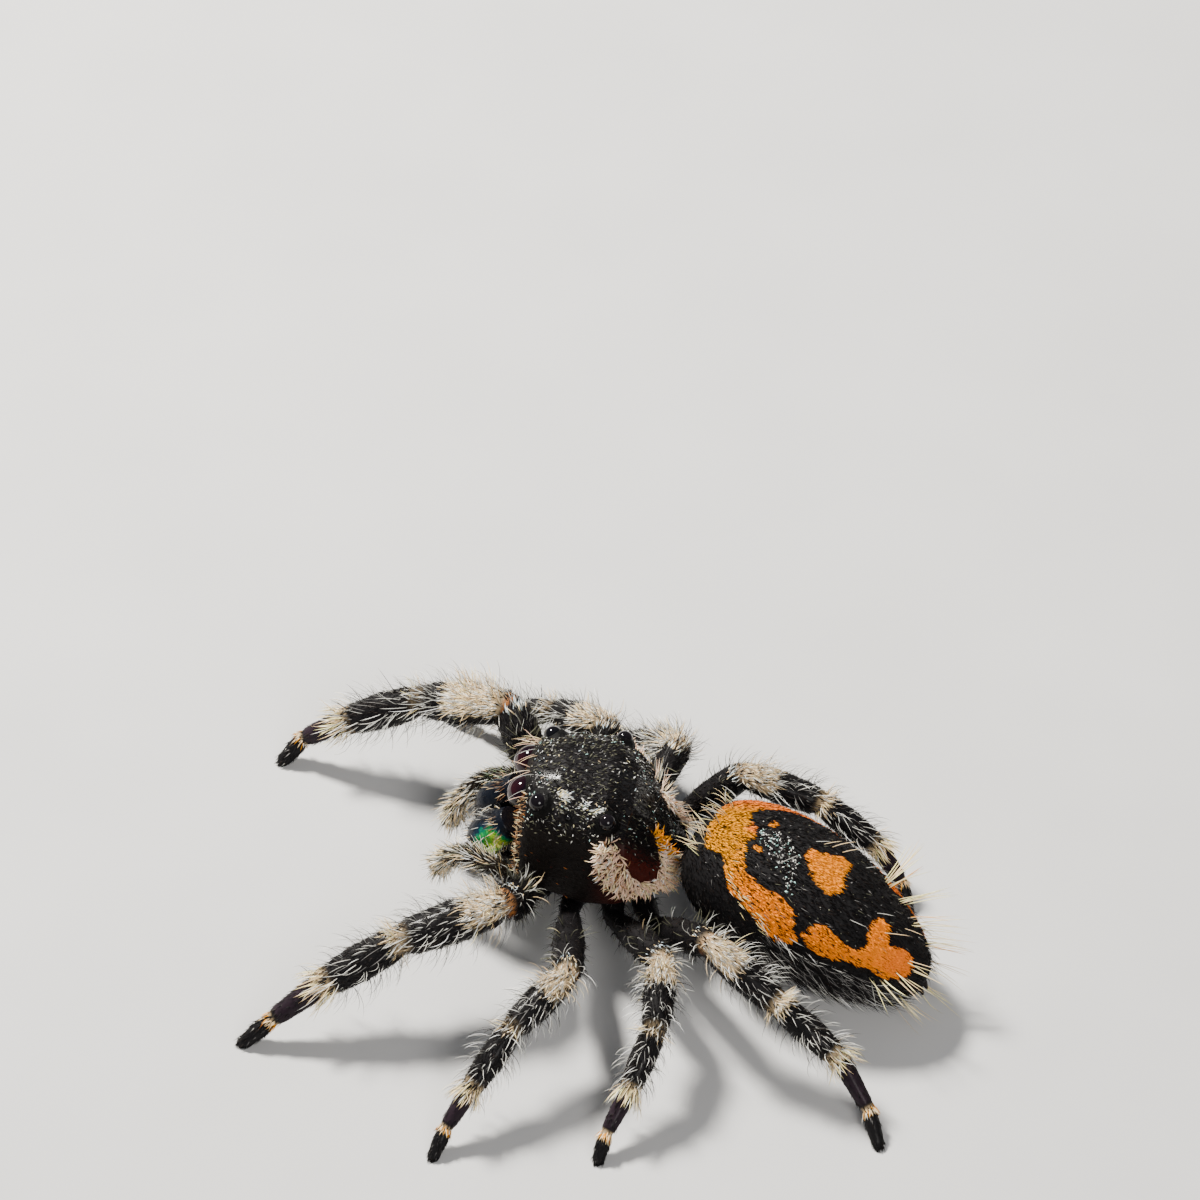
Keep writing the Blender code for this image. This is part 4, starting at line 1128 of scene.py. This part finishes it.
# ---- legs ----
legs = {
    "leg1_left": (
        (-2.1, -0.84, 1.88), (-3.75, -1.32, 1.55), (-5.03, -1.74, 0.95), (-5.8, -2.0, 0.42),
        (-6.3, -2.18, 0.0)),
    "leg2_left": (
        (-1.14, -2.08, 1.62), (-2.0, -2.95, 1.35), (-2.66, -3.72, 0.78), (-3.02, -4.1, 0.35),
        (-3.24, -4.45, 0.0)),
    "leg3_left": (
        (0.34, -1.76, 1.56), (0.21, -2.94, 1.3), (-0.21, -3.72, 0.75), (-0.55, -4.22, 0.35),
        (-0.69, -4.53, 0.0)),
    "leg4_left": (
        (1.04, -1.75, 1.96), (2.11, -2.5, 1.42), (3.08, -3.14, 0.85), (3.52, -3.76, 0.35),
        (3.68, -4.25, 0.0)),
    "leg1_right": (
        (-2.1, 3.35, 1.9), (-3.55, 3.78, 1.6), (-4.88, 3.9, 0.95), (-5.54, 4.0, 0.45),
        (-5.94, 3.84, 0.0)),
    "leg2_right": (
        (-0.5, 3.24, 1.6), (-1.4, 3.85, 1.25), (-2.2, 4.35, 0.7), (-2.75, 4.65, 0.32),
        (-3.2, 4.85, 0.0)),
    "leg3_right": (
        (0.66, 2.92, 1.41), (0.34, 3.42, 0.98), (-0.2, 3.88, 0.5), (-0.62, 4.24, 0.22),
        (-0.95, 4.48, 0.0)),
    "leg4_right": (
        (1.66, 2.1, 1.66), (2.92, 1.72, 1.38), (3.86, 1.28, 0.78), (4.22, 0.92, 0.35),
        (4.34, 0.55, 0.0)),
}
coxa = {"out": 0.52, "drop": -0.45, "length": 0.62,
        "back": {"leg1": 0.62, "leg2": 1.12, "leg3": 1.6, "leg4": 2.07},
        "swing": {"leg1": 36.0, "leg2": 12.0, "leg3": -10.0, "leg4": -24.0}}
legRadii = {  # coxa, femur, patella, tibia, metatarsus, tarsus
    "leg1": (0.23, 0.39, 0.38, 0.34, 0.21, 0.145),
    "leg2": (0.2, 0.31, 0.29, 0.25, 0.16, 0.125),
    "leg3": (0.19, 0.3, 0.28, 0.24, 0.155, 0.12),
    "leg4": (0.19, 0.31, 0.3, 0.27, 0.165, 0.125),
}
skinShare = 0.9


def legLimb(name):
    kind, side = name.split("_")
    sign = 1.0 if side == "left" else -1.0
    swing = math.radians(coxa["swing"][kind])
    start = np.array((coxa["back"][kind], coxa["out"] * sign, coxa["drop"]))
    reach = np.array((-math.sin(swing), math.cos(swing) * sign, 0.0)) * coxa["length"]
    joints = [onHead(*(start - 0.3 * reach)), onHead(*(start + reach)), *legs[name]]
    c, f, p, b, m, s = (skinShare * radius for radius in legRadii[kind])
    thickness = (
        (0.0, 0.9 * c), (0.5, 1.15 * c), (0.94, 0.92 * c), (1.06, 0.84 * c), (1.5, 0.6 * c + 0.52 * f),
        (1.75, 0.9 * f), (1.93, 0.84 * f), (1.99, 0.66 * f), (2.05, 0.7 * p), (2.14, 0.88 * p),
        (2.5, p), (2.88, 0.88 * p), (2.97, 0.72 * p), (3.03, 0.74 * b), (3.13, 0.88 * b),
        (3.5, 0.98 * b), (3.86, 0.8 * b), (3.96, 0.64 * b), (4.03, 0.86 * m), (4.2, 1.02 * m),
        (4.85, 0.82 * m), (4.96, 0.62 * m), (5.04, 0.85 * s), (5.35, 1.08 * s), (5.85, 0.86 * s),
        (6.0, 0.5 * s),
    )
    return makeLimb(joints, thickness)


# how pale the knee, the cuff, the sock and the ring of each leg are, and where the knee's patch is
paleness = {
    "leg1_left": (1.0, 0.7, 1.0, 0.7, 2.2, 0.16), "leg1_right": (1.0, 0.25, 0.9, 0.9, 2.36, 0.3),
    "leg2_left": (0.8, 0.25, 0.9, 1.0, 2.2, 0.2), "leg2_right": (0.9, 0.25, 0.9, 1.0, 2.24, 0.24),
    "leg3_left": (0.9, 0.3, 0.9, 1.0, 2.18, 0.18), "leg3_right": (0.9, 0.3, 0.9, 1.0, 2.2, 0.2),
    "leg4_left": (1.0, 1.0, 1.0, 1.0, 2.22, 0.2), "leg4_right": (1.0, 0.8, 1.0, 1.0, 2.2, 0.2),
}


def legZones(t, angle, name):
    # how strongly a place belongs to the pale knee, cuff, sock and ring
    knee, cuff, sock, ring, kneeAt, kneeHalf = paleness[name]
    topSide = smoothStep((np.sin(angle) + 0.05) / 0.5)
    return np.stack((
        knee * near(t, kneeAt, kneeHalf, 0.06) * topSide,
        cuff * near(t, 3.02, 0.07, 0.05) * smoothStep((np.sin(angle) + 0.3) / 0.5),
        sock * near(t, 3.94, 0.07, 0.05),
        ring * near(t, 4.97, 0.05, 0.03)))


def legMix(t, angle, name):
    # the coat's colours at a place: the zones are pale, the rest is black with a few grey hairs
    knee, cuff, sock, ring = legZones(t, angle, name)
    pale = np.clip(knee + cuff + sock + ring, 0.0, 1.0)
    streak = smoothStep((np.sin(angle) + 0.1) / 0.5) * near(t, 2.6, 0.5, 0.2)
    dark = 8.0 * (1 - pale) + 0.5 + knee
    greyish = (0.5 + 0.9 * streak) * (1 - pale) * (1 - 0.9 * near(t, 4.5, 0.38))
    greyish = greyish * smoothStep((t - 1.9) / 0.15)
    return {"brownBlack": 0.3 * dark, "black": 0.7 * dark, "grey": 1.2 * greyish,
            "paleGrey": 0.4 * greyish + 3.0 * knee, "white": 5 * knee + 3 * cuff + 0.5 * streak,
            "cream": 10 * knee + 9 * cuff + 10 * sock + 7 * ring, "amber": 3.5 * ring}


def legTint(name):
    def tint(t, angle):
        knee, cuff, sock, ring = legZones(t, angle, name)
        purple = near(t, 4.5, 0.38)[:, None]
        base = shade("black", len(t)) * (1 - purple) + 0.7 * colours["purpleBlack"] * purple
        rim = (near(t, 2.02, 0.012, 0.014) * (0.8 if name.startswith("leg1") else 0.3))[:, None]
        base = base * (1 - rim) + colours["amber"] * rim
        pale = np.clip(0.45 * knee + 0.35 * cuff + 0.3 * sock + 0.3 * ring, 0.0, 1.0)[:, None]
        return base * (1 - pale) + pale * colours["cream"]
    return tint


legHairs = {  # how each kind of hair on a leg is cut and set
    "fur": dict(length=(0.1, 0.17), width=0.021, stand=(14, 1), unruly=7, swirl=12, flat=0.4),
    "scales": dict(length=(0.13, 0.22), width=0.026, stand=(13, 0), unruly=7, flat=0.3, fade=0.55),
    "bristles": dict(length=(0.28, 0.52), width=0.013, stand=(72, 12), unruly=16, swirl=24, rings=5,
                     taper=2.2, fade=0.45),
    "fine": dict(length=(0.2, 0.34), width=0.01, stand=(52, 20), unruly=14, swirl=20, rings=3),
    "sock": dict(length=(0.26, 0.46), width=0.02, stand=(48, 26), rings=4, taper=2.2, fade=0.75),
    "ring": dict(length=(0.1, 0.2), width=0.022, stand=(36, 12), rings=3, fade=0.75),
    "brush": dict(length=(0.2, 0.36), width=0.016, stand=(76, 46), rings=4, swirl=40, fade=0.75),
    "root": dict(length=(0.26, 0.44), width=0.018, stand=(74, 20), rings=4, swirl=40),
    "claw": dict(length=(0.07, 0.13), width=0.016, stand=(26, 6)),
}
brushCount = {"leg1_left": 70, "leg1_right": 160}
legParts = ("femur", "patella", "tibia", "foot")


def legCoat(name, surface, seed):
    front = name.startswith("leg1")
    _, cuff, _, _, kneeAt, kneeHalf = paleness[name]
    coat = Coat(surface, seed, (0.0, 6.0))
    draw = coat.draw
    top = np.pi / 2
    scale = 1.12 if front else 0.92  # the front legs have the longer hair

    def grow(kind, t, a, colour, spread=0.25):
        style = dict(legHairs[kind])
        if kind not in ("ring", "root", "claw"):
            style["length"] = tuple(scale * length for length in style["length"])
        coat.grow(t, a, colour, spread, **style)

    def allRound(count):
        return draw.uniform(0, 2 * np.pi, count)

    def bristleDensity(t, angle):
        return smoothStep((t - 1.85) / 0.15) * smoothStep((4.12 - t) / 0.08) * (1 + 0.5 * near(t, 3.92, 0.15))

    t, a = coat.scatter(4300 if front else 3500, (0.06, 6.0), lambda t, a: 1 - 0.35 * near(t, 4.5, 0.36))
    grow("fur", t, a, legMix(t, a, name), 0.35)
    t, a = coat.scatter(1500 if front else 900, (1.9, 5.2), lambda t, a: legZones(t, a, name).sum(0))
    grow("scales", t, a, legMix(t, a, name), 0.15)
    t, a = coat.scatter(430 if front else 350, (1.8, 4.15), bristleDensity)
    grow("bristles", t, a, {"brownBlack": 1.4, "grey": 2.4, "paleGrey": 4, "white": 2,
                            "cream": 5.0 * near(t, 3.95, 0.12) + 1.6 * near(t, kneeAt, 0.2)})
    t, a = coat.scatter(150 if front else 110, (1.5, 4.1), bristleDensity)
    grow("fine", t, a, {"grey": 3, "paleGrey": 3, "brownBlack": 4})
    t, a = coat.scatter(170, (0.35, 1.9), lambda t, a: 0.35 + 0.65 * (np.sin(a) < 0.0))
    grow("fine", t, a, {"grey": 3, "brownBlack": 4, "olive": 2})
    # the pale sock and ring of the foot, the brushes of knee and cuff, and the joint's rim
    grow("sock", draw.normal(3.96, 0.035, 60), allRound(60), {"yellowWhite": 5, "cream": 3, "white": 2}, 0.15)
    grow("ring", draw.normal(4.97, 0.025, 50), allRound(50), {"cream": 3.5, "golden": 4, "white": 1}, 0.15)
    count = brushCount.get(name, 26)
    t = draw.uniform(kneeAt - kneeHalf, kneeAt + 0.8 * kneeHalf, count)
    grow("brush", t, top + draw.normal(0.0, 0.6, count), {"cream": 5, "white": 4, "yellowWhite": 1}, 0.1)
    count = int(70 * cuff)
    t = draw.normal(3.03, 0.03, count)
    grow("brush", t, top + draw.normal(0.0, 0.9, count), {"cream": 5, "white": 3, "yellowWhite": 2}, 0.1)
    # a tuft of cream scales on the femur's tip, with blue-white ones as its painted glint
    t = draw.normal(1.9, 0.025, 26)
    grow("scales", t, top + draw.normal(0.0, 0.5, 26), {"cream": 4, "blueWhite": 3, "paleGrey": 3}, 0.2)
    count = 46 if front else 16
    t = draw.uniform(1.45, 1.95, count)
    grow("root", t, draw.uniform(0.2, np.pi - 0.2, count), {"olive": 5, "paleGrey": 3, "cream": 0.8})
    grow("claw", draw.uniform(5.75, 6.0, 60), allRound(60), shade("black", 60) * 1.6)
    coat.finish(name + "_coat", "hair")


for index, name in enumerate(legs):
    surface = limbSurface(legLimb(name))
    skin = wrapSkin(name + "_skin", surface, (0.0, 6.0), 40, 260, legTint(name), caps=(0.01, 0.01))
    finishPiece(skin, "cuticle", [name + "_" + part for part in legParts])
    legCoat(name, surface, 100 + index)
print("legs done")


# ---- floor, light and camera ----
def makeStage():
    mesh = bmesh.new()
    bmesh.ops.create_grid(mesh, x_segments=1, y_segments=1, size=0.6)
    floor = pieceFrom(mesh, "floor")
    look = Look("paleFloor", {"Specular IOR Level": 0.2})
    cloud = look.noise(0.25, detail=2.0)
    tone = look.ramp(cloud, ((0.3, grey(0.46)), (0.7, grey(0.49))))
    floor.data.materials.append(look.surface({"Base Color": tone, "Roughness": 0.85 + 0.05 * cloud}))
    world = bpy.data.worlds.new("studio")
    world.use_nodes = True
    background = world.node_tree.nodes["Background"]
    background.inputs["Color"].default_value = (0.88, 0.92, 1.0, 1.0)
    background.inputs["Strength"].default_value = 0.27
    bpy.context.scene.world = world


def softLight(name, at, size, energy, colour):
    lamp = bpy.data.lights.new(name, "AREA")
    lamp.shape = "DISK"
    lamp.size = size
    lamp.energy = energy
    lamp.color = colour
    light = addObject(name, lamp)
    light.location = at
    light.rotation_euler = (Vector((0.0, 0.0, 0.001)) - Vector(at)).to_track_quat("-Z", "Y").to_euler()


makeStage()
softLight("keyLight", (-0.04, 0.045, 0.08), 0.018, 0.42, (1.0, 0.96, 0.89))
softLight("fillLight", (0.03, -0.08, 0.07), 0.05, 0.095, (1.0, 0.97, 0.93))
view = {"lens": 150.0, "tilt": 44.4, "place": (-0.642, -52.242, 61.146)}
camera = addObject("camera", bpy.data.cameras.new("camera"))
camera.data.lens = view["lens"]
camera.data.sensor_width = 36.0
camera.data.clip_start = 0.001
camera.data.clip_end = 5.0
camera.location = metres(view["place"])
camera.rotation_euler = (math.radians(view["tilt"]), 0.0, 0.0)
bpy.context.scene.camera = camera
